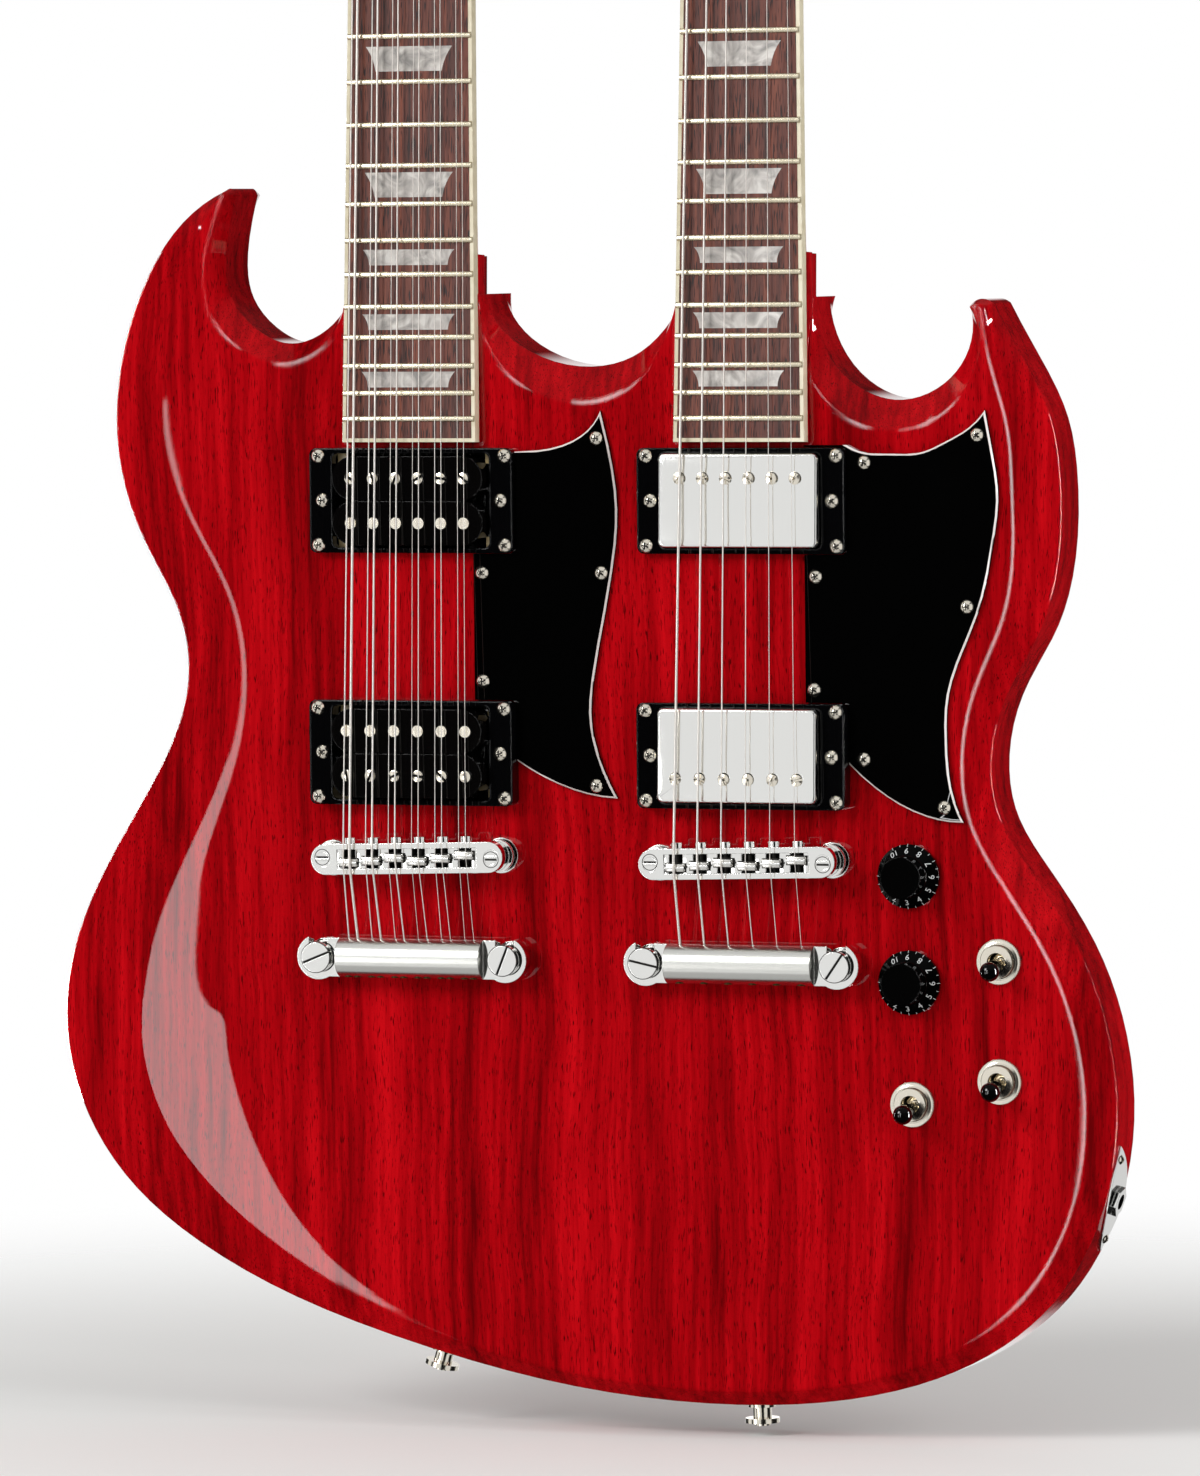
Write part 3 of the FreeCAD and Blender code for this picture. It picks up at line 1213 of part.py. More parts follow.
def string_solid(neck, index):
    """One string from its ball end in the tailpiece to its turns on the post."""
    count = len(neck.diameters)
    diameter = neck.diameters[index]
    tail_x = neck.x + neck.tail_places[index]
    saddle_x = neck.saddle_places[index]
    ball_z = TAIL_Z - TAIL_WIDTH / 2 + BALL_LENGTH / 2
    rim_z = TAIL_Z + TAIL_WIDTH / 2
    saddle_point = pt(saddle_x, saddle_string_height(saddle_x), saddle_shift(index, count))
    saddle_top = bridge_place(neck).multVec(saddle_point)
    nut_x = neck.nut_places[index]
    nut_front = neck_place(neck).multVec(pt(nut_x, nut_string_height(nut_x), 0))
    nut_back = neck_place(neck).multVec(pt(nut_x, nut_string_height(nut_x), NUT_THICK))
    post_x, post_z, side = post_places(neck)[index]
    wall = diameter * WRAP_FULLNESS
    bend = POST_WAIST_RADIUS + WRAP_CLEARANCE + wall / 2
    turn_height = WRAP_HEIGHT + WRAP_TURNS * diameter / 2
    post_point = head_place(neck).multVec(pt(post_x - side * bend, turn_height, post_z))
    path = [pt(tail_x, TAIL_STRING_HEIGHT, ball_z), pt(tail_x, TAIL_STRING_HEIGHT, rim_z), saddle_top,
            nut_front, nut_back, post_point]
    run = round_wire(path, diameter / 2)
    ball = Part.makeCylinder(BALL_RADIUS, BALL_LENGTH, path[0] - UP * (BALL_LENGTH / 2), UP)
    inner = POST_WAIST_RADIUS + WRAP_CLEARANCE
    wrap_top = WRAP_HEIGHT + WRAP_TURNS * diameter
    turns = disc(post_x, post_z, inner + wall, WRAP_HEIGHT, wrap_top)
    turns = turns.cut(disc(post_x, post_z, inner, WRAP_HEIGHT - CUT, wrap_top + CUT))
    whole = run.fuse([ball, placed(turns, head_place(neck))]).removeSplitter()
    return max(whole.Solids, key=lambda solid: solid.Volume)


# Pickups

def pickup_top(neck, z):
    """Height of a pickup's top, a named distance under the strings."""
    strings_at_nut = NUT_STRING_HEIGHT - NECK_BACK
    strings_at_saddle = saddle_string_height(0)
    return strings_at_nut + (strings_at_saddle - strings_at_nut) * z / BRIDGE_Z - PICKUP_UNDER_STRINGS


def pickup_spots():
    """Each pickup: its neck, place, ring height, pole pitch and the side of its screw row."""
    spots = []
    for neck in NECKS:
        spots.append((neck, NECK_RING_Z, NECK_RING_HEIGHT, NECK_POLE_PITCH, 1))
        spots.append((neck, BRIDGE_RING_Z, BRIDGE_RING_HEIGHT, BRIDGE_POLE_PITCH, -1))
    return spots


def pickup_ring(spot):
    """Raised plastic frame round a pickup."""
    neck, z, height, pitch, side = spot
    frame = plate(neck.x, z, RING_WIDTH, RING_LENGTH, RING_CORNER, 0, height)
    opening = PICKUP_WIDTH + 2 * PICKUP_CLEARANCE
    hole = plate(neck.x, z, opening, PICKUP_LENGTH + 2 * PICKUP_CLEARANCE, COVER_CORNER, -CUT, height + CUT)
    screws = [shank(place) for place in ring_screw_places(neck) + adjust_screw_places(neck)]
    return frame.cut([hole] + screws)


def pole_places(spot):
    """Pole centres of a pickup: x, z and whether the pole is a screw."""
    neck, z, height, pitch, side = spot
    places = []
    for row in (side, -side):
        for index in range(SIX_COUNT):
            x = neck.x + (index - (SIX_COUNT - 1) / 2) * pitch
            places.append((x, z + row * COIL_SPACING / 2, row == side))
    return places


def pickup_coils(spot):
    """Base plate, two round-ended bobbins, bar magnet and twelve poles of one pickup."""
    neck, z, height, pitch, side = spot
    covered = neck is SIX
    top = pickup_top(neck, z)
    coil_top = top - COVER_WALL - POLE_RISE if covered else top
    coil_low = coil_top - BOBBIN_HEIGHT
    pole_low = coil_low - MAGNET_THICK
    inset = COVER_WALL + PICKUP_CLEARANCE if covered else 0.0
    base_width = PICKUP_WIDTH - 2 * inset
    base_length = PICKUP_LENGTH - 2 * inset
    base = block(neck.x - base_width / 2, neck.x + base_width / 2, z - base_length / 2, z + base_length / 2,
                 pole_low - BASE_THICK, pole_low)
    lugs = block(neck.x - LUG_STRIP_LENGTH / 2, neck.x + LUG_STRIP_LENGTH / 2, z - LUG_STRIP_WIDTH / 2,
                 z + LUG_STRIP_WIDTH / 2, pole_low - BASE_THICK - COVER_WALL, pole_low - BASE_THICK)
    holes = [shank(place, 1.0, height + BODY_THICK) for place in adjust_screw_places(neck)]
    poles = []
    for x, pole_z, is_screw in pole_places(spot):
        rise = top + (POLE_RISE if is_screw else 0.0) if covered else top + POLE_RISE
        pole = disc(x, pole_z, POLE_RADIUS, pole_low, rise if is_screw or not covered else coil_top)
        poles.append(slotted(pole, x, pole_z, POLE_RADIUS, rise) if is_screw else pole)
    half = (BOBBIN_WIDTH - BOBBIN_LENGTH) / 2 - inset
    bobbins = []
    for row in (-1, 1):
        bobbin = capsule(neck.x - half, neck.x + half, z + row * COIL_SPACING / 2, BOBBIN_LENGTH / 2,
                         coil_low, coil_top)
        bobbins.append(bobbin.cut(poles + pole_bores(spot, coil_low, coil_top)))
    magnet_reach = (COIL_SPACING - 2 * POLE_RADIUS) / 2 - PICKUP_CLEARANCE
    magnet_half = min(magnet_reach, MAGNET_WIDTH / 2)
    magnet = block(neck.x - MAGNET_LENGTH / 2, neck.x + MAGNET_LENGTH / 2, z - magnet_half, z + magnet_half,
                   pole_low, coil_low)
    plate_solid = base.fuse(lugs).removeSplitter().cut(holes)
    return [plate_solid] + bobbins + [magnet] + poles


def pole_bores(spot, low, high):
    return [disc(x, z, POLE_RADIUS, low - CUT, high + CUT) for x, z, is_screw in pole_places(spot)]


def pickup_cover(spot):
    """Plated metal cover of a 6-string pickup, with six holes for the screw poles."""
    neck, z, height, pitch, side = spot
    top = pickup_top(neck, z)
    shell = plate(neck.x, z, PICKUP_WIDTH, PICKUP_LENGTH, COVER_CORNER, top - COVER_DEPTH, top)
    hollow = plate(neck.x, z, PICKUP_WIDTH - 2 * COVER_WALL, PICKUP_LENGTH - 2 * COVER_WALL,
                   COVER_CORNER - COVER_WALL, top - COVER_DEPTH - CUT, top - COVER_WALL)
    holes = [disc(x, pole_z, POLE_RADIUS, top - COVER_WALL - CUT, top + CUT)
             for x, pole_z, is_screw in pole_places(spot) if is_screw]
    return shell.cut([hollow] + holes)


# Bridges and tailpieces

def bridge_bar_top(neck):
    return saddle_string_height(0) - STRING_OVER_BAR


def bridge(neck):
    """Bar with a channel, six saddles on their screws, two studs with wheels and two inserts."""
    top = bridge_bar_top(neck)
    low = top - BAR_HEIGHT
    half = BAR_LENGTH / 2 - BAR_WIDTH / 2
    bar = capsule(-half, half, 0, BAR_WIDTH / 2, low, top)
    floor = top - CHANNEL_DEPTH
    middles = saddle_middles(neck)
    reach = middles[-1] + SADDLE_WIDTH / 2 + CHANNEL_END_GAP
    channel = block(-reach, reach, -CHANNEL_WIDTH / 2, CHANNEL_WIDTH / 2, floor, top + CUT)
    screw_height = floor + CHANNEL_DEPTH / 2
    pieces = []
    bores = []
    for course, x in enumerate(middles):
        z = SADDLE_SHIFT * SADDLE_SHIFT_SHARES[course]
        screw = Part.makeCylinder(SADDLE_SCREW_RADIUS, BAR_WIDTH, pt(x, screw_height, -BAR_WIDTH / 2), UP)
        end = pt(x, screw_height, BAR_WIDTH / 2)
        head = Part.makeCylinder(SADDLE_HEAD_RADIUS, SADDLE_HEAD_LENGTH, end, UP)
        bores.append(screw)
        pieces.append(screw.fuse(head).removeSplitter())
        pieces.append(saddle(neck, course, x, z, floor).cut(screw))
    studs = [bridge_stud(side * POST_SPACING / 2, low, top) for side in (-1, 1)]
    inserts = [threaded_insert(side * POST_SPACING / 2, 0, STUD_RADIUS) for side in (-1, 1)]
    bar = bar.cut([channel] + bores + studs)
    return [placed(piece, bridge_place(neck)) for piece in [bar] + pieces + studs + inserts]


def saddle_middles(neck):
    """Places of the six saddles across a bridge."""
    count = len(neck.diameters) // SIX_COUNT
    groups = [neck.saddle_places[start:start + count] for start in range(0, len(neck.diameters), count)]
    return [sum(group) / count for group in groups]


def saddle(neck, course, x, z, floor):
    """Wedge saddle whose ridge carries its strings."""
    count = len(neck.diameters) // SIX_COUNT
    peak = min(saddle_string_height(neck.saddle_places[course * count + index])
               - neck.diameters[course * count + index] / 2 for index in range(count))
    half = SADDLE_LENGTH / 2
    corners = [pt(x - SADDLE_WIDTH / 2, floor, z - half), pt(x - SADDLE_WIDTH / 2, floor, z + half),
               pt(x - SADDLE_WIDTH / 2, peak, z + half / 4), pt(x - SADDLE_WIDTH / 2, peak, z - half / 4)]
    wedge = Part.Face(Part.makePolygon(corners + corners[:1])).extrude(ACROSS * SADDLE_WIDTH)
    grooves = []
    for index in range(count):
        string_x = neck.saddle_places[course * count + index]
        radius = neck.diameters[course * count + index] / 2
        height = saddle_string_height(string_x)
        grooves.append(block(string_x - radius, string_x + radius, z - SADDLE_LENGTH, z + SADDLE_LENGTH,
                             height - radius, height + SADDLE_LENGTH))
    return wedge.cut(grooves)


def bridge_stud(x, bar_low, bar_top):
    """Slotted stud with the wheel that carries the bar."""
    thread = disc(x, 0, STUD_RADIUS, -INSERT_DEPTH, bar_low)
    wheel = disc(x, 0, WHEEL_RADIUS, bar_low - WHEEL_THICK, bar_low)
    head = disc(x, 0, STUD_TOP_RADIUS, bar_low, bar_top)
    return slotted(thread.fuse([wheel, head]).removeSplitter(), x, 0, STUD_TOP_RADIUS, bar_top)


def threaded_insert(x, z, bore_radius):
    """Flanged insert pressed into the wood."""
    insert = disc(x, z, INSERT_RADIUS, -INSERT_DEPTH, 0)
    flange = disc(x, z, INSERT_FLANGE_RADIUS, 0, INSERT_FLANGE_THICK)
    bore = disc(x, z, bore_radius, -INSERT_DEPTH - CUT, INSERT_FLANGE_THICK + CUT)
    return insert.fuse(flange).removeSplitter().cut(bore)


def tailpiece_bar(neck):
    """Rounded bar between two low ears with slots, bored for the strings."""
    half_width = TAIL_WIDTH / 2
    half = TAIL_BAR_LENGTH / 2
    low = TAIL_LOW
    shoulder = TAIL_EAR_TOP
    start = -half
    left = pt(start, shoulder, TAIL_Z - half_width)
    right = pt(start, shoulder, TAIL_Z + half_width)
    section = Part.Wire([
        Part.makeLine(pt(start, low, TAIL_Z - half_width), left),
        Part.Arc(left, pt(start, TAIL_HIGH, TAIL_Z), right).toShape(),
        Part.makeLine(right, pt(start, low, TAIL_Z + half_width)),
        Part.makeLine(pt(start, low, TAIL_Z + half_width), pt(start, low, TAIL_Z - half_width)),
    ])
    middle = Part.Face(section).extrude(ACROSS * TAIL_BAR_LENGTH)
    pieces = []
    slots = []
    for side in (-1, 1):
        x = side * TAIL_STUD_SPACING / 2
        ear = disc(x, TAIL_Z, TAIL_EAR_RADIUS, low, shoulder)
        arm = block(min(half * side, x), max(half * side, x), TAIL_Z - half_width, TAIL_Z + half_width,
                    low, shoulder)
        pieces += [ear, arm]
        slots.append(disc(x, TAIL_Z, TAIL_SLOT_HALF, low - CUT, shoulder + CUT))
        slots.append(block(x - TAIL_SLOT_HALF, x + TAIL_SLOT_HALF, TAIL_Z, TAIL_Z + TAIL_EAR_RADIUS + CUT,
                           low - CUT, shoulder + CUT))
    bar = middle.fuse(pieces).cut(slots)
    bores = []
    for x in neck.tail_places:
        bores.append(Part.makeCylinder(TAIL_BORE_RADIUS, TAIL_WIDTH + 2 * CUT,
                                       pt(x, TAIL_STRING_HEIGHT, TAIL_Z - half_width - CUT), UP))
        bores.append(Part.makeCylinder(BALL_RADIUS, BALL_LENGTH + CUT,
                                       pt(x, TAIL_STRING_HEIGHT, TAIL_Z - half_width - CUT), UP))
    bar = bar.cut(bores).removeSplitter()
    bar.translate(V(neck.x, 0, 0))
    return bar


def tail_stud(x):
    """Slotted stud that clamps an ear of the tailpiece."""
    top = TAIL_EAR_TOP + TAIL_STUD_HEAD_THICK
    thread = disc(x, TAIL_Z, TAIL_STUD_THREAD, -INSERT_DEPTH, TAIL_LOW)
    collar = disc(x, TAIL_Z, TAIL_STUD_HEAD, INSERT_FLANGE_THICK, TAIL_LOW)
    neck_bar = disc(x, TAIL_Z, TAIL_STUD_NECK, TAIL_LOW, TAIL_EAR_TOP)
    head = disc(x, TAIL_Z, TAIL_STUD_HEAD, TAIL_EAR_TOP, top)
    return slotted(thread.fuse([collar, neck_bar, head]).removeSplitter(), x, TAIL_Z, TAIL_STUD_HEAD, top)


def tailpiece(neck):
    pieces = [tailpiece_bar(neck)]
    for side in (-1, 1):
        x = neck.x + side * TAIL_STUD_SPACING / 2
        pieces.append(tail_stud(x))
        pieces.append(threaded_insert(x, TAIL_Z, TAIL_STUD_THREAD))
    return pieces


# Pickguards and covers

def pickguard(neck):
    """Thin plate beside the pickups, cut clear of their rings."""
    top, side, foot = ([pt(*spot_of(guard_point(neck, across, down))) for across, down in curve]
                       for curve in neck.guard_shares)
    left = neck.x + GUARD_LEFT
    low_left = pt(left, 0, foot[-1].z)
    high_left = pt(left, 0, top[0].z)
    wire = Part.Wire([smooth(top), smooth(side), smooth(foot), Part.makeLine(foot[-1], low_left),
                      Part.makeLine(low_left, high_left), Part.makeLine(high_left, top[0])])
    slab = Part.Face(wire).extrude(OUT * GUARD_THICK)
    width = RING_WIDTH + 2 * GUARD_RING_GAP
    length = RING_LENGTH + 2 * GUARD_RING_GAP
    rings = [plate(neck.x, z, width, length, RING_CORNER, -CUT, GUARD_THICK + CUT)
             for z in (NECK_RING_Z, BRIDGE_RING_Z)]
    holes = [shank(place) for place in guard_screw_places(neck)]
    return slab.cut(rings + holes)


def spot_of(point):
    """A plan point on the body's face, as across, height and along."""
    return point[0], 0, point[1]


def truss_cover(neck):
    middle = TRUSS_COVER_GAP + TRUSS_COVER_LENGTH / 2
    cover = plate(0, middle, TRUSS_COVER_WIDTH, TRUSS_COVER_LENGTH, TRUSS_COVER_CORNER, 0, TRUSS_COVER_THICK)
    holes = [shank(place, SMALL_SCREW_SHARE) for place in truss_screw_places(neck)]
    return placed(cover, head_place(neck)).cut(holes)


def rear_cover():
    cover = cover_slab(COVER_LIP - REAR_COVER_CLEARANCE, BODY_THICK - REAR_COVER_THICK, BODY_THICK)
    return cover.cut([shank(place) for place in rear_screw_places()])


# Controls

def knob(x, z):
    """Top-hat knob with its hollow underside, and the shaft and wiper that turn with it."""
    low = KNOB_GAP
    skirt = disc(x, z, KNOB_RADIUS, low, low + KNOB_SKIRT_EDGE)
    cone = Part.makeCone(KNOB_RADIUS, KNOB_TOP_RADIUS, KNOB_SKIRT_HEIGHT - KNOB_SKIRT_EDGE,
                         pt(x, low + KNOB_SKIRT_EDGE, z), OUT)
    crown = disc(x, z, KNOB_TOP_RADIUS, low + KNOB_SKIRT_HEIGHT, KNOB_HEIGHT)
    hollow = disc(x, z, KNOB_HOLLOW_RADIUS, low - CUT, low + KNOB_HOLLOW_HEIGHT)
    bore = disc(x, z, POT_SHAFT_RADIUS, low - CUT, KNOB_BORE_TOP)
    cap = skirt.fuse([cone, crown]).removeSplitter().cut([hollow, bore])
    wiper_top = -CONTROL_FLOOR - POT_WALL - POT_CLEARANCE
    wiper = disc(x, z, POT_WIPER_RADIUS, wiper_top - POT_WIPER_THICK, wiper_top)
    shaft_bar = disc(x, z, POT_SHAFT_RADIUS, wiper_top, KNOB_BORE_TOP).fuse(wiper).removeSplitter()
    return [cap, shaft_bar]


def potentiometer(x, z):
    """Pot case with a hollow for the wiper, its threaded bushing and its nut."""
    top = -CONTROL_FLOOR
    case = disc(x, z, POT_RADIUS, top - POT_DEPTH, top)
    bushing = disc(x, z, POT_BUSH_RADIUS, top, POT_NUT_THICK)
    hollow = disc(x, z, POT_RADIUS - POT_WALL, top - POT_DEPTH + POT_WALL, top - POT_WALL)
    bore = disc(x, z, POT_SHAFT_RADIUS + POT_CLEARANCE, top - POT_WALL - CUT, POT_NUT_THICK + CUT)
    ring = hexagon(x, z, POT_NUT_RADIUS, 0, POT_NUT_THICK)
    ring = ring.cut(disc(x, z, POT_BUSH_RADIUS, -CUT, POT_NUT_THICK + CUT))
    return [case.fuse(bushing).removeSplitter().cut([hollow, bore]), ring]


def toggle_switch(x, z):
    """Switch box with its threaded bushing, and the round stepped nut on the front."""
    low = -CONTROL_FLOOR - SWITCH_BOX_DEPTH
    half = SWITCH_BOX_WIDTH / 2
    long_half = SWITCH_BOX_LENGTH / 2
    box = block(x - half, x + half, z - long_half, z + long_half, low, -CONTROL_FLOOR)
    bushing = disc(x, z, SWITCH_BUSH_RADIUS, -CONTROL_FLOOR, SWITCH_COLLAR_HEIGHT)
    wall = SWITCH_BOX_WALL
    hollow = block(x - half + wall, x + half - wall, z - long_half + wall, z + long_half - wall,
                   low + wall, -CONTROL_FLOOR - wall)
    bore = disc(x, z, SWITCH_BORE_RADIUS, -CONTROL_FLOOR - wall - CUT, SWITCH_COLLAR_HEIGHT + CUT)
    pin_reach = SWITCH_BUSH_RADIUS - LEVER_PIN_END_GAP + LEVER_PIN_CLEARANCE
    pin_hole = rod(x - pin_reach, x + pin_reach, -SWITCH_PIVOT_DEPTH, z,
                   LEVER_PIN_RADIUS + LEVER_PIN_CLEARANCE)
    nut_ring = disc(x, z, SWITCH_NUT_RADIUS, 0, SWITCH_NUT_THICK)
    nut_ring = nut_ring.fuse(disc(x, z, SWITCH_COLLAR_RADIUS, SWITCH_NUT_THICK, SWITCH_COLLAR_HEIGHT))
    nut_ring = nut_ring.removeSplitter().cut(disc(x, z, SWITCH_BUSH_RADIUS, -CUT, SWITCH_COLLAR_HEIGHT + CUT))
    return [box.fuse(bushing).removeSplitter().cut([hollow, bore, pin_hole]), nut_ring]


def switch_lever(x, z):
    """Toggle lever: ball with its pivot pin, stem and rounded tip, resting in its lower position."""
    pivot = pt(x, -SWITCH_PIVOT_DEPTH, z)
    stem = disc(x, z, LEVER_RADIUS, -SWITCH_PIVOT_DEPTH - LEVER_TAIL, LEVER_TIP_LOW + CUT)
    ball = Part.makeSphere(SWITCH_BALL_RADIUS, pivot)
    pin_reach = SWITCH_BUSH_RADIUS - LEVER_PIN_END_GAP
    pin = rod(x - pin_reach, x + pin_reach, -SWITCH_PIVOT_DEPTH, z, LEVER_PIN_RADIUS)
    cap_height = LEVER_TIP_HIGH - LEVER_TIP_RADIUS
    cone = Part.makeCone(LEVER_TIP_BASE_RADIUS, LEVER_TIP_RADIUS, cap_height - LEVER_TIP_LOW,
                         pt(x, LEVER_TIP_LOW, z), OUT)
    dome = Part.makeSphere(LEVER_TIP_RADIUS, pt(x, cap_height, z))
    dome = dome.common(disc(x, z, LEVER_TIP_RADIUS + CUT, cap_height, LEVER_TIP_HIGH + CUT))
    lever = stem.fuse([ball, pin, cone, dome]).removeSplitter()
    lever.rotate(pivot, ACROSS, LEVER_TILT)
    return lever


def output_jack():
    """Curved plate on the edge, the socket behind it with its bore, and the nut on the front."""
    frame = jack_place()
    centre = V(0, JACK_SEAT_DEPTH + JACK_SEAT_RADIUS, 0) - ACROSS * BODY_THICK
    inside = Part.makeCylinder(JACK_SEAT_RADIUS, 2 * BODY_THICK, centre, ACROSS)
    outside = Part.makeCylinder(JACK_SEAT_RADIUS + JACK_PLATE_THICK, 2 * BODY_THICK, centre, ACROSS)
    cover = jack_outline(-BODY_THICK / 4, BODY_THICK / 4).common(outside).cut(inside)
    top = JACK_PLATE_THICK - JACK_SEAT_DEPTH
    tube = disc(0, 0, JACK_TUBE_RADIUS, -JACK_TUBE_LENGTH, top + JACK_NUT_THICK)
    can = disc(0, 0, JACK_CAN_RADIUS, -JACK_TUBE_LENGTH, -JACK_TUBE_LENGTH + JACK_CAN_LENGTH)
    shoulder = disc(0, 0, JACK_CAN_RADIUS, -JACK_SEAT_DEPTH - JACK_PLATE_THICK, -JACK_SEAT_DEPTH)
    bore = disc(0, 0, JACK_BORE_RADIUS, CUT - JACK_TUBE_LENGTH, top + JACK_NUT_THICK + CUT)
    socket = tube.fuse([can, shoulder]).removeSplitter().cut(bore)
    cover = cover.cut([disc(0, 0, JACK_TUBE_RADIUS, -JACK_SEAT_DEPTH - CUT, top + CUT)])
    cover = cover.cut([shank(place, SMALL_SCREW_SHARE) for place in curved_places()])
    nut_ring = hexagon(0, 0, JACK_NUT_RADIUS, top, top + JACK_NUT_THICK)
    nut_ring = nut_ring.cut(disc(0, 0, JACK_TUBE_RADIUS, top - CUT, top + JACK_NUT_THICK + CUT))
    return [placed(piece, frame) for piece in (cover, socket.cut(cover), nut_ring)]


def curved_places():
    """Screws square to the jack plate's curve, in the jack's frame."""
    angle = math.degrees(math.asin(JACK_SCREW_SPACING / 2 / JACK_SEAT_RADIUS))
    centre = V(0, JACK_SEAT_DEPTH + JACK_SEAT_RADIUS, 0)
    return [FreeCAD.Placement(centre, FreeCAD.Rotation(ACROSS, end * angle)).multiply(
        at(0, JACK_SEAT_RADIUS + JACK_PLATE_THICK, 0)) for end in (-1, 1)]


def jack_screw_places():
    return [jack_place().multiply(place) for place in curved_places()]


def electrics():
    pieces = []
    for x, z in KNOB_PLACES:
        pieces += potentiometer(x, z)
    for x, z in SWITCH_PLACES:
        pieces += toggle_switch(x, z)
    pieces += output_jack()
    pieces += [wire_tube(run, WIRE_RADIUS, WIRE_END) for run in wire_runs()]
    return pieces


# Strap buttons

def strap_button():
    """Waisted button and the screw through it, standing on the wood along OUT."""
    base = disc(0, 0, STRAP_BASE_RADIUS, 0, STRAP_BASE_THICK)
    waist = disc(0, 0, STRAP_WAIST_RADIUS, STRAP_BASE_THICK, STRAP_HEIGHT - STRAP_FLANGE_THICK)
    flange = disc(0, 0, STRAP_FLANGE_RADIUS, STRAP_HEIGHT - STRAP_FLANGE_THICK, STRAP_HEIGHT)
    hole = disc(0, 0, STRAP_SCREW_RADIUS, -CUT, STRAP_HEIGHT + CUT)
    button = base.fuse([waist, flange]).removeSplitter().cut(hole)
    head = disc(0, 0, STRAP_SCREW_HEAD_RADIUS, STRAP_HEIGHT, STRAP_HEIGHT + STRAP_SCREW_HEAD_HEIGHT)
    screw = head.fuse(disc(0, 0, STRAP_SCREW_RADIUS, STRAP_HEIGHT - STRAP_SCREW_LENGTH, STRAP_HEIGHT))
    top = STRAP_HEIGHT + STRAP_SCREW_HEAD_HEIGHT
    return [button, slotted(screw.removeSplitter(), 0, 0, STRAP_SCREW_HEAD_RADIUS, top)]


def all_screws():
    """Every cross-head screw of the guitar."""
    full = wood_screw()
    small = wood_screw(SMALL_SCREW_SHARE)
    screws = []
    for neck in NECKS:
        for place in ring_screw_places(neck):
            screws.append(placed(wood_screw(1.0, SCREW_LENGTH + place.Base.y * -1), place))
        for place in adjust_screw_places(neck):
            screws.append(placed(wood_screw(1.0, SCREW_LENGTH + BODY_THICK / 4), place))
        screws += [placed(full, place) for place in guard_screw_places(neck)]
        small_places = truss_screw_places(neck) + lug_screw_places(neck)
        screws += [placed(small, place) for place in small_places]
    screws += [placed(full, place) for place in rear_screw_places()]
    screws += [placed(small, place) for place in jack_screw_places()]
    return screws


def build():
    os.makedirs("parts", exist_ok=True)
    blank = body_blank()
    whole_necks = [neck_blank(neck, blank) for neck in NECKS]
    save("body", [body(blank, whole_necks)])
    boards = [fingerboard(neck) for neck in NECKS]
    for index, name in enumerate(("fingerboards", "fingerboard_bindings", "frets", "inlays")):
        save(name, boards[0][index] + boards[1][index])
    save("nuts", [nut(neck) for neck in NECKS])
    for neck, whole in zip(NECKS, whole_necks):
        save("neck_" + neck.name, [neck_wood(neck, whole), placed(truss_rod(neck), neck_place(neck))])
    for neck in NECKS:
        for index in range(len(neck.diameters)):
            save("%s_post_%d" % (neck.name, index + 1), [seated(tuner_post(), neck, index)])
            save("%s_key_%d" % (neck.name, index + 1), [seated(tuner_key(), neck, index)])
    save("tuner_housings", [seated(piece, neck, index) for neck in NECKS
                            for index in range(len(neck.diameters)) for piece in tuner_housing()])
    save("strings", [string_solid(neck, index) for neck in NECKS
                     for index in range(len(neck.diameters))])
    save("pickup_rings", [pickup_ring(spot) for spot in pickup_spots()])
    save("pickup_coils", [piece for spot in pickup_spots() for piece in pickup_coils(spot)])
    save("pickup_covers", [pickup_cover(spot) for spot in pickup_spots() if spot[0] is SIX])
    save("bridges", [piece for neck in NECKS for piece in bridge(neck)])
    save("tailpieces", [piece for neck in NECKS for piece in tailpiece(neck)])
    save("pickguards_and_covers", [pickguard(neck) for neck in NECKS] + [truss_cover(neck) for neck in NECKS]
         + [rear_cover()])
    save("volume_knob", knob(*KNOB_PLACES[0]))
    save("tone_knob", knob(*KNOB_PLACES[1]))
    for name, spot in zip(("neck_selector_lever", "six_pickup_lever", "twelve_pickup_lever"), SWITCH_PLACES):
        save(name, [switch_lever(*spot)])
    save("electrics", electrics())
    save("strap_buttons", [placed(piece, place) for place in strap_places() for piece in strap_button()])
    save("screws", all_screws())


build()
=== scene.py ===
import math
import bmesh
import bpy
from mathutils import Matrix, Vector


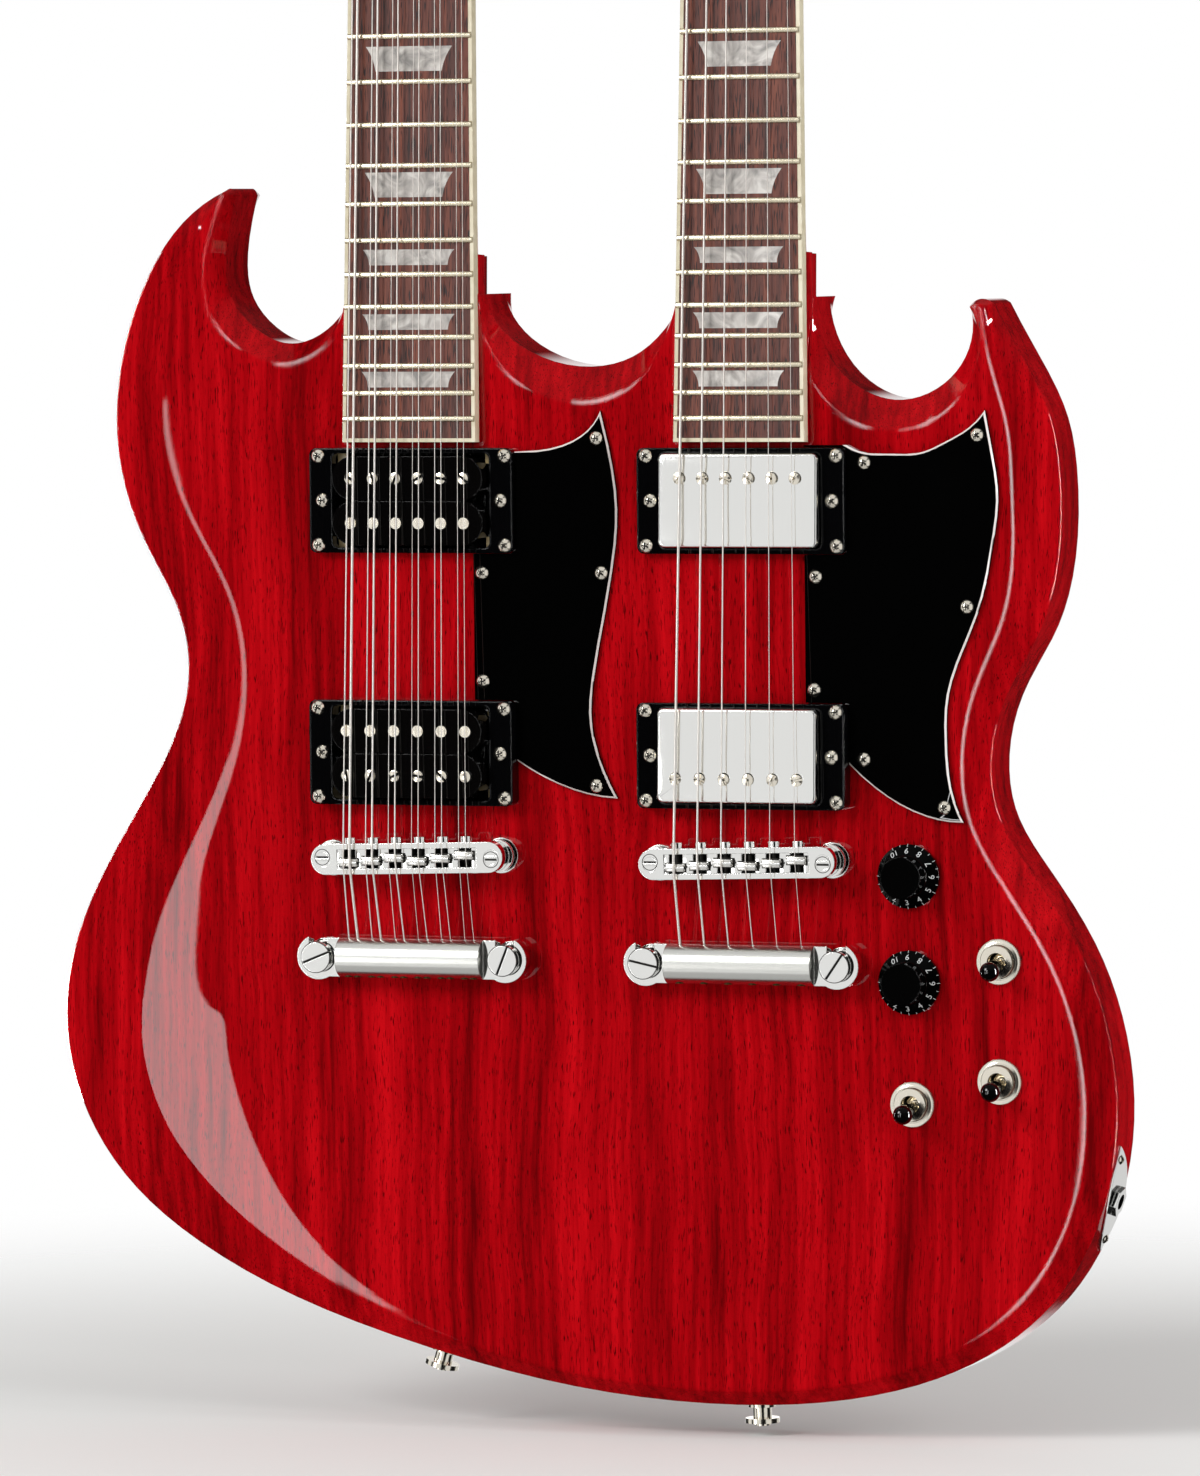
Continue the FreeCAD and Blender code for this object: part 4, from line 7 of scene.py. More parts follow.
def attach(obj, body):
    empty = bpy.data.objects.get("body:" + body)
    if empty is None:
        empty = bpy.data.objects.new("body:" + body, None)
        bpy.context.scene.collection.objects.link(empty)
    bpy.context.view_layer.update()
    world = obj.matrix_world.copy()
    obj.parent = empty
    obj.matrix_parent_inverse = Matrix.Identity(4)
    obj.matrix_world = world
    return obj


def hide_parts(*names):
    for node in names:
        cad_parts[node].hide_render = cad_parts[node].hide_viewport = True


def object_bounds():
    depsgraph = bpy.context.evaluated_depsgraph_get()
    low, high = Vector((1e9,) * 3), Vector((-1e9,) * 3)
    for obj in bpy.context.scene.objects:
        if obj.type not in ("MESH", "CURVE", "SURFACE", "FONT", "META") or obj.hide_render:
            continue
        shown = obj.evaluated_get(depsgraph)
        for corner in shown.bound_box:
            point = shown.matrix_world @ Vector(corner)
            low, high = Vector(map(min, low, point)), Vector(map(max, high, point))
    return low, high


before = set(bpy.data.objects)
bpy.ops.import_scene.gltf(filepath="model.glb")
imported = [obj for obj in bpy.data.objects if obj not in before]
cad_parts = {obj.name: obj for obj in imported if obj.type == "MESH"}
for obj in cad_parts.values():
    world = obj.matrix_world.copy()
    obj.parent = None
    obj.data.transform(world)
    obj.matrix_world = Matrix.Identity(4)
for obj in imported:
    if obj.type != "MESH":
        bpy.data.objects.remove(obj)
cad_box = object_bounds()

# Camera: it stands 20 degrees to the right and 3 degrees above, 3.8 m off, turned half a degree on
# its own axis, as the photograph was taken.
CAMERA_TURN = math.radians(19.94)
CAMERA_RISE = math.radians(3.16)
CAMERA_ROLL = math.radians(-0.54)
CAMERA_DISTANCE = 3.82
CAMERA_TARGET = Vector((0.080, 0.0, -0.5825))
CAMERA_LENS = 228.3
SENSOR_HEIGHT = 36.0
FARTHEST_SEEN = 50.0

camera_back = Vector((math.sin(CAMERA_TURN) * math.cos(CAMERA_RISE),
                      -math.cos(CAMERA_TURN) * math.cos(CAMERA_RISE), math.sin(CAMERA_RISE)))
level_right = Vector((math.cos(CAMERA_TURN), math.sin(CAMERA_TURN), 0.0))
camera_right = (math.cos(CAMERA_ROLL) * level_right
                + math.sin(CAMERA_ROLL) * camera_back.cross(level_right))
camera_data = bpy.data.cameras.new("camera")
camera_data.sensor_fit = "VERTICAL"
camera_data.sensor_height = SENSOR_HEIGHT
camera_data.lens = CAMERA_LENS
camera_data.clip_end = FARTHEST_SEEN
camera = bpy.data.objects.new("camera", camera_data)
facing = Matrix((camera_right, camera_back.cross(camera_right), camera_back)).transposed().to_4x4()
camera.matrix_world = Matrix.Translation(CAMERA_TARGET + CAMERA_DISTANCE * camera_back) @ facing
bpy.context.collection.objects.link(camera)
bpy.context.scene.camera = camera
bpy.context.scene.view_settings.view_transform = "Standard"

# Floor: a pale round paper floor just under the guitar. It thins out to the white of the surround, and
# polished pieces don't mirror it, so that the lacquer keeps its depth.
FLOOR_GAP = 0.004
FLOOR_RADIUS = 0.9
FLOOR_FADE_START = 0.25
FLOOR_FADE_END = 0.88
FLOOR_CENTRE = (0.07, 0.1)
FLOOR_SIDES = 96


def linear(hexcode):
    """A colour written as sRGB hex, as the linear values that the shader takes."""
    parts = [int(hexcode[i:i + 2], 16) / 255.0 for i in (1, 3, 5)]
    return [c / 12.92 if c <= 0.04045 else ((c + 0.055) / 1.055) ** 2.4 for c in parts] + [1.0]


def fill(owner, node, inputs):
    """Give a node's inputs their values, or their links where they are another node's outputs."""
    for name, value in inputs.items():
        if isinstance(value, bpy.types.NodeSocket):
            owner.node_tree.links.new(value, node.inputs[name])
        else:
            node.inputs[name].default_value = value


def add(owner, kind, settings=None, inputs=None, stops=()):
    """Add a node to a material or the world, with its settings, its values or links, and a ramp's stops."""
    made = owner.node_tree.nodes.new(kind)
    for name, value in (settings or {}).items():
        setattr(made, name, value)
    fill(owner, made, inputs or {})
    if stops:
        elements = made.color_ramp.elements
        while len(elements) < len(stops):
            elements.new(0.5)
        for element, (place, colour) in zip(elements, stops):
            element.position = place
            element.color = linear(colour)
    return made


floor_mesh = bpy.data.meshes.new("floor")
shape = bmesh.new()
bmesh.ops.create_circle(shape, cap_ends=True, segments=FLOOR_SIDES, radius=FLOOR_RADIUS)
bmesh.ops.translate(shape, verts=shape.verts, vec=(*FLOOR_CENTRE, cad_box[0][2] - FLOOR_GAP))
shape.to_mesh(floor_mesh)
shape.free()
floor = bpy.data.objects.new("floor", floor_mesh)
bpy.context.collection.objects.link(floor)

paper = bpy.data.materials.new("floor_paper")
paper.use_nodes = True
paper.node_tree.nodes.clear()
where = add(paper, "ShaderNodeTexCoord")
flat = add(paper, "ShaderNodeVectorMath", {"operation": "MULTIPLY_ADD"},
           {0: where.outputs["Object"], 1: (1.0, 1.0, 0.0), 2: (-FLOOR_CENTRE[0], -FLOOR_CENTRE[1], 0.0)})
span = add(paper, "ShaderNodeVectorMath", {"operation": "LENGTH"}, {0: flat.outputs["Vector"]})
fade = add(paper, "ShaderNodeMapRange", {"interpolation_type": "SMOOTHSTEP"},
           {"Value": span.outputs["Value"], "From Min": FLOOR_FADE_START, "From Max": FLOOR_FADE_END})
path = add(paper, "ShaderNodeLightPath")
thin = add(paper, "ShaderNodeMath", {"operation": "MAXIMUM"},
           {0: fade.outputs["Result"], 1: path.outputs["Is Glossy Ray"]})
matte = add(paper, "ShaderNodeBsdfDiffuse", None, {"Color": linear("#F4F4F2")})
clear = add(paper, "ShaderNodeBsdfTransparent")
mixed = add(paper, "ShaderNodeMixShader", None,
            {0: thin.outputs[0], 1: matte.outputs[0], 2: clear.outputs[0]})
add(paper, "ShaderNodeOutputMaterial", None, {"Surface": mixed.outputs[0]})
floor_mesh.materials.append(paper)

# Surround: white to the eye, with a white backdrop behind the guitar that metal mirrors too. It gives an
# even soft light, but mirrors show the front of the room dark between the lamps, as black cloth would make
# it. So the red lacquer and the black plastic keep their depth.
AMBIENT = 0.45
BACKDROP_EDGE = 0.93
BACKDROP_MIDDLE = 0.975
ROOM_REACH = (0.1, -0.4)
ROOM_LEVELS = (0.012, 0.003)
CEILING_REACH = (0.25, 0.75)
CEILING_LEVEL = 0.1

world = bpy.data.worlds.new("studio")
bpy.context.scene.world = world
world.use_nodes = True
world.node_tree.nodes.clear()
where = add(world, "ShaderNodeTexCoord")
split = add(world, "ShaderNodeSeparateXYZ", None, {0: where.outputs["Generated"]})
room = add(world, "ShaderNodeMapRange", {"interpolation_type": "SMOOTHSTEP"},
           {"Value": split.outputs["Y"], "From Min": ROOM_REACH[0], "From Max": ROOM_REACH[1],
            "To Min": ROOM_LEVELS[0], "To Max": ROOM_LEVELS[1]})
above = add(world, "ShaderNodeMapRange", {"interpolation_type": "SMOOTHSTEP"},
            {"Value": split.outputs["Z"], "From Min": CEILING_REACH[0], "From Max": CEILING_REACH[1]})
room = add(world, "ShaderNodeMix", {"data_type": "FLOAT"},
           {"Factor": above.outputs["Result"], "A": room.outputs["Result"], "B": CEILING_LEVEL})
ahead = add(world, "ShaderNodeVectorMath", {"operation": "DOT_PRODUCT"},
            {0: where.outputs["Generated"], 1: tuple(-camera_back)})
backdrop = add(world, "ShaderNodeMapRange", {"interpolation_type": "SMOOTHSTEP"},
               {"Value": ahead.outputs["Value"], "From Min": BACKDROP_EDGE, "From Max": BACKDROP_MIDDLE})
room = add(world, "ShaderNodeMath", {"operation": "MAXIMUM"},
           {0: room.outputs["Result"], 1: backdrop.outputs["Result"]})
path = add(world, "ShaderNodeLightPath")
level = add(world, "ShaderNodeMix", {"data_type": "FLOAT"},
            {"Factor": path.outputs["Is Glossy Ray"], "A": AMBIENT, "B": room.outputs[0]})
seen = add(world, "ShaderNodeMath", {"operation": "MAXIMUM"},
           {0: path.outputs["Is Camera Ray"], 1: path.outputs["Is Transmission Ray"]})
level = add(world, "ShaderNodeMix", {"data_type": "FLOAT"},
            {"Factor": seen.outputs[0], "A": level.outputs["Result"], "B": 1.0})
shine = add(world, "ShaderNodeBackground", None,
            {"Color": linear("#FFFFFF"), "Strength": level.outputs["Result"]})
add(world, "ShaderNodeOutputWorld", None, {"Surface": shine.outputs[0]})

# Lamps: soft boxes, each with its place, its aim, its width and height in metres, and its power. The key
# stands high on the left, two fills on the right, and the tall one low on the left, where the lacquer's
# shoulder mirrors it as a broad pale band. The strips show only in lacquer and plastic, as thin lines along
# creases and edges, and the cards only in bright metal, as a polariser sorts them.
LAMPS = (
    ("key_softbox", (-2.0, -3.0, 1.4), (0.07, 0.0, -0.55), 1.6, 1.6, 86.0),
    ("fill_softbox", (3.0, -1.8, 0.9), (0.07, 0.0, -0.55), 1.2, 1.2, 25.0),
    ("side_fill_softbox", (3.3, -0.3, 0.2), (0.25, 0.0, -0.55), 1.2, 1.6, 40.0),
    ("tall_softbox", (-1.78, -3.0, -1.25), (-0.1, 0.0, -0.7), 0.6, 1.5, 14.0),
    ("crease_strip", (-0.41, -3.1, -0.45), (0.25, 0.0, -0.6), 0.24, 2.4, 26.0),
    ("right_strip", (3.0, 0.26, -0.5), (0.2, 0.0, -0.6), 0.3, 2.4, 200.0),
    ("left_strip", (-3.0, 0.26, -0.5), (-0.1, 0.0, -0.6), 0.3, 2.4, 120.0),
    ("front_card", (-1.02, -3.0, -0.70), (0.07, 0.0, -0.6), 3.4, 5.0, 43.0),
    ("right_card", (3.0, -1.6, -0.70), (0.07, 0.0, -0.6), 2.4, 5.0, 30.0),
    ("left_card", (-3.2, -0.7, -0.70), (0.07, 0.0, -0.6), 2.0, 5.0, 26.0),
    ("floor_card", (0.0, -1.2, -2.9), (0.07, 0.0, -0.6), 3.6, 2.4, 15.0),
    ("ceiling_card", (0.0, -1.2, 1.7), (0.07, 0.0, -0.6), 3.6, 2.4, 18.0),
    ("back_card", (0.6, 3.2, -0.8), (0.07, 0.0, -0.5), 5.0, 4.4, 46.0),
)
bright_metal = bpy.data.collections.new("bright_metal")
lacquer_and_plastic = bpy.data.collections.new("lacquer_and_plastic")
for lamp_name, spot, aim, width, height, power in LAMPS:
    lamp_data = bpy.data.lights.new(lamp_name, "AREA")
    lamp_data.shape = "RECTANGLE"
    lamp_data.size = width
    lamp_data.size_y = height
    lamp_data.energy = power
    lamp = bpy.data.objects.new(lamp_name, lamp_data)
    lamp.location = spot
    lamp.rotation_euler = (Vector(aim) - Vector(spot)).to_track_quat("-Z", "Y").to_euler()
    lamp.visible_camera = False
    lamp.visible_glossy = not lamp_name.endswith("fill_softbox")
    bpy.context.collection.objects.link(lamp)
    if lamp_name.endswith("strip"):
        lamp.visible_diffuse = False
        lamp.light_linking.receiver_collection = lacquer_and_plastic
    if lamp_name.endswith("card"):
        lamp.light_linking.receiver_collection = bright_metal

# Body and necks: mahogany under translucent cherry lacquer, sprayed thick and polished to a mirror gloss.
# The slab and the necks are glued together, and the pickup cavities are painted black inside.
LACQUER_EDGE = 0.0012
CREASE_SOFTNESS = 0.0035
CREASE_DEPTH = 0.0015
CREASE_SAMPLES = 8
EDGE_SAMPLES = 4
WAVER_LENGTH = 0.1111
WAVER_REACH = 0.012
BAND_WIDTH = 0.022
BANDS_PER_METRE = 1.6
STREAK_WIDTH = 0.0030
STREAKS_PER_METRE = 12.0
PORE_WIDTH = 0.00035
PORE_LENGTH = 0.0042
CAVITY_DEPTHS = (0.0004, 0.0245)
CAVITY_CENTRES_X = (0.0, 0.143)
CAVITY_CENTRES_Z = (-0.48554, -0.589)
CAVITY_HALF = (0.0440, 0.0210)


def set_shader(material, inputs):
    """Give the material's shader its values or links."""
    fill(material, material.node_tree.nodes["Principled BSDF"], inputs)


def finish_for(name, inputs, edge=0.0):
    """A new material whose shader has these values. With an edge, edges look rounded to that radius."""
    material = bpy.data.materials.new(name)
    material.use_nodes = True
    if edge:
        soft_edge = add(material, "ShaderNodeBevel", {"samples": EDGE_SAMPLES}, {"Radius": edge})
        set_shader(material, {"Normal": soft_edge.outputs[0], "Coat Normal": soft_edge.outputs[0]})
    set_shader(material, inputs)
    return material


def place_on(material):
    """The object's own coordinates in metres, by which a pattern lies on it."""
    return add(material, "ShaderNodeTexCoord").outputs["Object"]


def sort_by_light(thing, material):
    """Put a thing among those that the cards light, or among those that the strips light."""
    metal = material.node_tree.nodes["Principled BSDF"].inputs["Metallic"].default_value > 0.5
    (bright_metal if metal else lacquer_and_plastic).objects.link(thing)


def paint(material, *names):
    """Give CAD nodes this material."""
    for name in names:
        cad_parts[name].material_slots[0].material = material
        sort_by_light(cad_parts[name], material)


# Cherry lacquer: the grain runs upright in soft bands with short dark open pores, and shows through the deep
# red. The pores are drawn at twice their real width, so that they show. The mirror gloss is the clear coat's.
cherry = finish_for("cherry_lacquer_on_mahogany",
                    {"Roughness": 0.4, "Specular IOR Level": 0.0, "Coat Weight": 1.0,
                     "Coat Roughness": 0.02, "Coat IOR": 1.5}, edge=LACQUER_EDGE)
place = place_on(cherry)
waver = add(cherry, "ShaderNodeTexNoise", None, {"Vector": place, "Scale": 1 / WAVER_LENGTH, "Detail": 2.0})
bent = add(cherry, "ShaderNodeVectorMath", {"operation": "MULTIPLY_ADD"},
           {0: waver.outputs["Color"], 1: (WAVER_REACH, WAVER_REACH, 0.0), 2: place})
bands = add(cherry, "ShaderNodeMapping", None,
            {"Vector": bent.outputs[0], "Scale": (1 / BAND_WIDTH, 0.5 / BAND_WIDTH, BANDS_PER_METRE)})
bands = add(cherry, "ShaderNodeTexNoise", None,
            {"Vector": bands.outputs[0], "Scale": 1.0, "Detail": 2.0, "Roughness": 0.5})
streaks = add(cherry, "ShaderNodeMapping", None,
              {"Vector": bent.outputs[0], "Scale": (1 / STREAK_WIDTH, 0.5 / STREAK_WIDTH, STREAKS_PER_METRE)})
streaks = add(cherry, "ShaderNodeTexNoise", None,
              {"Vector": streaks.outputs[0], "Scale": 1.0, "Detail": 3.0, "Roughness": 0.65})
pores = add(cherry, "ShaderNodeMapping", None,
            {"Vector": bent.outputs[0], "Scale": (1 / PORE_WIDTH, 1 / PORE_WIDTH, 1 / PORE_LENGTH)})
pores = add(cherry, "ShaderNodeTexNoise", None,
            {"Vector": pores.outputs[0], "Scale": 1.0, "Detail": 0.0})
pores = add(cherry, "ShaderNodeMapRange", None,
            {"Value": pores.outputs["Fac"], "From Min": 0.65, "From Max": 0.75})
blend = add(cherry, "ShaderNodeMix", {"data_type": "FLOAT"},
            {"Factor": 0.5, "A": bands.outputs["Fac"], "B": streaks.outputs["Fac"]})
tint = add(cherry, "ShaderNodeValToRGB", None, {"Fac": blend.outputs["Result"]},
           ((0.34, "#640206"), (0.50, "#A3040D"), (0.64, "#C60B15")))
tint = add(cherry, "ShaderNodeMix", {"data_type": "RGBA"},
           {"Factor": pores.outputs["Result"], "A": tint.outputs["Color"], "B": linear("#5E0306")})

# The cavities' black paint: it lies where the depth and the pickups' places say.
split = add(cherry, "ShaderNodeSeparateXYZ", None, {0: place})
inside = add(cherry, "ShaderNodeMath", {"operation": "COMPARE"},
             {0: split.outputs["Y"], 1: sum(CAVITY_DEPTHS) / 2, 2: (CAVITY_DEPTHS[1] - CAVITY_DEPTHS[0]) / 2})
for axis, centres, half in (("X", CAVITY_CENTRES_X, CAVITY_HALF[0]), ("Z", CAVITY_CENTRES_Z, CAVITY_HALF[1])):
    near = [add(cherry, "ShaderNodeMath", {"operation": "COMPARE"},
                {0: split.outputs[axis], 1: centre, 2: half}) for centre in centres]
    either = add(cherry, "ShaderNodeMath", {"operation": "MAXIMUM"},
                 {0: near[0].outputs[0], 1: near[1].outputs[0]})
    inside = add(cherry, "ShaderNodeMath", {"operation": "MULTIPLY"},
                 {0: inside.outputs[0], 1: either.outputs[0]})
tint = add(cherry, "ShaderNodeMix", {"data_type": "RGBA"},
           {"Factor": inside.outputs[0], "A": tint.outputs["Result"], "B": linear("#050505")})
set_shader(cherry, {"Base Color": tint.outputs["Result"]})

# The crease where the front slopes off is sanded softer. It lies at the front face's level.
crease = add(cherry, "ShaderNodeMath", {"operation": "COMPARE"},
             {0: split.outputs["Y"], 1: 0.0, 2: CREASE_DEPTH})
softness = add(cherry, "ShaderNodeMath", {"operation": "MULTIPLY_ADD"},
               {0: crease.outputs[0], 1: CREASE_SOFTNESS - LACQUER_EDGE, 2: LACQUER_EDGE})
soft_edge = cherry.node_tree.nodes["Bevel"]
soft_edge.samples = CREASE_SAMPLES
fill(cherry, soft_edge, {"Radius": softness.outputs[0]})

# The strips leave the necks out, because they would wash out the sides of the headstocks.
paint(cherry, "body", "neck_twelve", "neck_six")
for name in ("neck_twelve", "neck_six"):
    lacquer_and_plastic.objects.unlink(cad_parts[name])

# Fingerboards: rosewood, planed, glued to the necks, then oiled. The oil leaves it half matt, red-brown with
# darker streaks and fine open pores along the neck, which are drawn at twice their real width too.
BOARD_STREAK = (0.002381, 0.005, 0.09091)
BOARD_PORE = (0.0004545, 0.0004545, 0.006667)
PORE_DENT = 0.0002

rosewood = finish_for("oiled_rosewood", {"Roughness": 0.42, "Specular IOR Level": 0.35}, edge=0.0004)
place = place_on(rosewood)
grain = add(rosewood, "ShaderNodeMapping", None,
            {"Vector": place, "Scale": tuple(1 / size for size in BOARD_STREAK)})
grain = add(rosewood, "ShaderNodeTexNoise", None,
            {"Vector": grain.outputs[0], "Scale": 1.0, "Detail": 4.0, "Roughness": 0.6})
pores = add(rosewood, "ShaderNodeMapping", None,
            {"Vector": place, "Scale": tuple(1 / size for size in BOARD_PORE)})
pores = add(rosewood, "ShaderNodeTexNoise", None,
            {"Vector": pores.outputs[0], "Scale": 1.0, "Detail": 0.0})
pores = add(rosewood, "ShaderNodeMapRange", None,
            {"Value": pores.outputs["Fac"], "From Min": 0.60, "From Max": 0.70})
tint = add(rosewood, "ShaderNodeValToRGB", None, {"Fac": grain.outputs["Fac"]},
           ((0.30, "#341710"), (0.50, "#602B1E"), (0.70, "#82422D")))
tint = add(rosewood, "ShaderNodeMix", {"data_type": "RGBA"},
           {"Factor": pores.outputs["Result"], "A": tint.outputs["Color"], "B": linear("#2A120E")})
dents = add(rosewood, "ShaderNodeBump", None,
            {"Strength": 0.3, "Distance": PORE_DENT, "Height": pores.outputs["Result"]})
set_shader(rosewood, {"Base Color": tint.outputs["Result"], "Normal": dents.outputs[0]})
paint(rosewood, "fingerboards")

# Bindings: cream celluloid strips, glued round the boards, scraped flush and polished. They look faintly
# mottled, with a soft gloss.
CREAM_MOTTLE = 0.007143

celluloid = finish_for("cream_celluloid", {"Roughness": 0.25}, edge=0.0004)
mottle = add(celluloid, "ShaderNodeTexNoise", None,
             {"Vector": place_on(celluloid), "Scale": 1 / CREAM_MOTTLE, "Detail": 2.0})
tint = add(celluloid, "ShaderNodeValToRGB", None, {"Fac": mottle.outputs["Fac"]},
           ((0.3, "#D2C7A8"), (0.7, "#E4DBC0")))
set_shader(celluloid, {"Base Color": tint.outputs["Color"]})
paint(celluloid, "fingerboard_bindings")

# Frets: nickel silver wire, pressed into slots, crowned and polished. The metal is a warm grey, and the
# polishing leaves it bright with a slight uneven haze.
FRET_HAZE = 0.001111


def polish_haze(material, size, least, most, detail=2.0):
    """Let the roughness vary between two values in patches of one size, as hand polishing leaves it."""
    patches = add(material, "ShaderNodeTexNoise", None,
                  {"Vector": place_on(material), "Scale": 1 / size, "Detail": detail})
    haze = add(material, "ShaderNodeMapRange", None,
               {"Value": patches.outputs["Fac"], "To Min": least, "To Max": most})
    set_shader(material, {"Roughness": haze.outputs["Result"]})


nickel_silver = finish_for("polished_nickel_silver",
                           {"Base Color": linear("#DDD3BA"), "Metallic": 1.0}, edge=0.0005)
polish_haze(nickel_silver, FRET_HAZE, least=0.20, most=0.32)
paint(nickel_silver, "frets")

# Inlays: pearl celluloid blocks, glued into pockets and sanded level with the board. They look cloudy and
# swirled, light and dark grey with a gloss.
PEARL_SWIRL = 0.01111

pearl = finish_for("swirled_pearl", {"Roughness": 0.18})
swirl = add(pearl, "ShaderNodeTexNoise", None,
            {"Vector": place_on(pearl), "Scale": 1 / PEARL_SWIRL, "Detail": 3.0, "Distortion": 2.2})
tint = add(pearl, "ShaderNodeValToRGB", None, {"Fac": swirl.outputs["Fac"]},
           ((0.32, "#8F8C88"), (0.5, "#B8B2AD"), (0.68, "#DAD6D0")))
set_shader(pearl, {"Base Color": tint.outputs["Color"]})
paint(pearl, "inlays")

# Nuts: bleached bone, glued to the ends of the boards, filed and rubbed to a satin finish. It looks like old
# ivory white, with fine flecks along its length.
BONE_FLECK = (0.003333, 0.0006667, 0.0006667)

bone = finish_for("satin_bone", {"Roughness": 0.4}, edge=0.0004)
fleck = add(bone, "ShaderNodeMapping", None,
            {"Vector": place_on(bone), "Scale": tuple(1 / size for size in BONE_FLECK)})
fleck = add(bone, "ShaderNodeTexNoise", None, {"Vector": fleck.outputs[0], "Scale": 1.0, "Detail": 1.0})
tint = add(bone, "ShaderNodeValToRGB", None, {"Fac": fleck.outputs["Fac"]},
           ((0.3, "#D8CEB2"), (0.6, "#EAE3CC")))
set_shader(bone, {"Base Color": tint.outputs["Color"]})
paint(bone, "nuts")

# Tuners: cast cases screwed to the headstocks, with bushings, posts and keys, all chromed over a polished
# casting. The chrome mirrors its surroundings and has hardly any haze.
CHROME_HAZE = 0.005

chrome = finish_for("bright_chrome", {"Base Color": linear("#F3F3F0"), "Metallic": 1.0}, edge=0.0004)
polish_haze(chrome, CHROME_HAZE, least=0.04, most=0.10)
paint(chrome, "tuner_housings")
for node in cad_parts:
    if "_key_" in node or "_post_" in node:
        paint(chrome, node)

# Strap buttons: turned brass, nickel plated, screwed to the body's rim and back. The nickel is a little
# warmer and softer than the chrome. The screws, the poles and the switch nuts have it too.
NICKEL_HAZE = 0.0025

nickel = finish_for("bright_nickel", {"Base Color": linear("#ECE5D6"), "Metallic": 1.0})
polish_haze(nickel, NICKEL_HAZE, least=0.10, most=0.22)
paint(nickel, "strap_buttons")

# Bridges: cast bars on two posts each, chromed. Six saddles sit on adjusting screws over deep slots, which
# are painted dark as painted shade, and ribs part the slots. The posts' screw heads lie flush in the bars'
# ends.
BAR_LENGTH = 80.0
BRIDGE_Z = -632.0
SLOT_REACH = 31.0
SLOT_SIDE = 5.9
SLOT_HALF = 2.8
SLOT_DROP = 0.2
RIB_TOP = 13.5
RIB_DEPTH = 3.5
RIB_SIDE = 5.7
SADDLES = 6
SADDLE_FRONT = -15.0
SADDLE_HAZE = 0.0014286
SADDLE_SIZE = (8.4, 3.3, 2.6)
SADDLE_TOP_DROP = 0.9
SADDLE_GAP = 0.4
GAP_LEVELS = (-0.12, 0.3)
POST_REACH = 37.0
POST_RADIUS = 3.1
POST_TOP = -13.79
POST_SLOT_DEPTHS = (0.1, 1.2)
POST_SLOT_HALF = (2.6, 0.4)
POST_SLOT_FILL = (-0.04, 0.12)
POST_SEAM = (3.1, 0.3, 0.05)
SEAM_STEPS = 48
CRISP_ANGLE = math.radians(28.0)

# Recesses: slots, gaps and grooves that hardly any light gets into are painted dark as painted shade, with a
# dark rough chrome. The saddles are satin nickel, greyer than the bar, with a fine haze.
painted_shade_chrome = finish_for("painted_shade_in_recesses",
                         {"Base Color": linear("#2B2A28"), "Metallic": 1.0, "Roughness": 0.45})
saddle_nickel = finish_for("satin_nickel_saddles",
                           {"Base Color": linear("#D3D1CC"), "Metallic": 1.0}, edge=0.0003)
polish_haze(saddle_nickel, SADDLE_HAZE, least=0.16, most=0.30)


def spot_of(vert):
    """A vertex's place to the micrometre, the same for loose triangles that meet there."""
    return tuple(round(c * 1e6) for c in vert.co)


def solids_of(shape):
    """The separate solids of a bmesh of loose triangles, each as its faces with its low and high corner."""
    corners = {}
    for face in shape.faces:
        for vert in face.verts:
            corners.setdefault(spot_of(vert), []).append(face)
    found, done = [], set()
    for start in shape.faces:
        if start in done:
            continue
        done.add(start)
        faces, waiting = [], [start]
        while waiting:
            face = waiting.pop()
            faces.append(face)
            for vert in face.verts:
                for other in corners[spot_of(vert)]:
                    if other not in done:
                        done.add(other)
                        waiting.append(other)
        spots = [vert.co * 1000.0 for face in faces for vert in face.verts]
        low = Vector([min(spot[axis] for spot in spots) for axis in range(3)])
        high = Vector([max(spot[axis] for spot in spots) for axis in range(3)])
        found.append((faces, low, high))
    return found


def corners_of(node):
    """The low and high corner of each solid of a CAD node, in millimetres."""
    shape = bmesh.new()
    shape.from_mesh(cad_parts[node].data)
    corners = [(low, high) for faces, low, high in solids_of(shape)]
    shape.free()
    return corners


def finished(name, mesh, materials, body, nodes):
    """Make a mesh a piece that rides on a body and stands for CAD nodes."""
    for material in materials:
        mesh.materials.append(material)
    made = bpy.data.objects.new(name, mesh)
    bpy.context.collection.objects.link(made)
    sort_by_light(made, materials[0])
    if nodes:
        paint(materials[0], *nodes)
        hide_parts(*nodes)
    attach(made, body)


def dressed(name, node, materials, choose, body="guitar", turn=None):
    """A CAD node's copy as a new piece. From a face's middle and normal and its solid's two corners, in
    millimetres, choose gives the number of its material, or None to leave it out. turn may turn a solid."""
    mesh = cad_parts[node].data.copy()
    mesh.name = name
    mesh.materials.clear()
    shape = bmesh.new()
    shape.from_mesh(mesh)
    spare = []
    for faces, low, high in solids_of(shape):
        for face in faces:
            number = choose(face.calc_center_median() * 1000.0, face.normal, low, high)
            if number is None:
                spare.append(face)
            else:
                face.material_index = number
        if turn and turn(low, high):
            corners = list({vert for face in faces for vert in face.verts})
            bmesh.ops.rotate(shape, verts=corners, cent=(low + high) / 2000.0,
                             matrix=Matrix.Rotation(math.radians(turn(low, high)), 3, "Y"))
    bmesh.ops.delete(shape, geom=spare, context="FACES")
    shape.to_mesh(mesh)
    shape.free()
    finished(name, mesh, materials, body, [node])


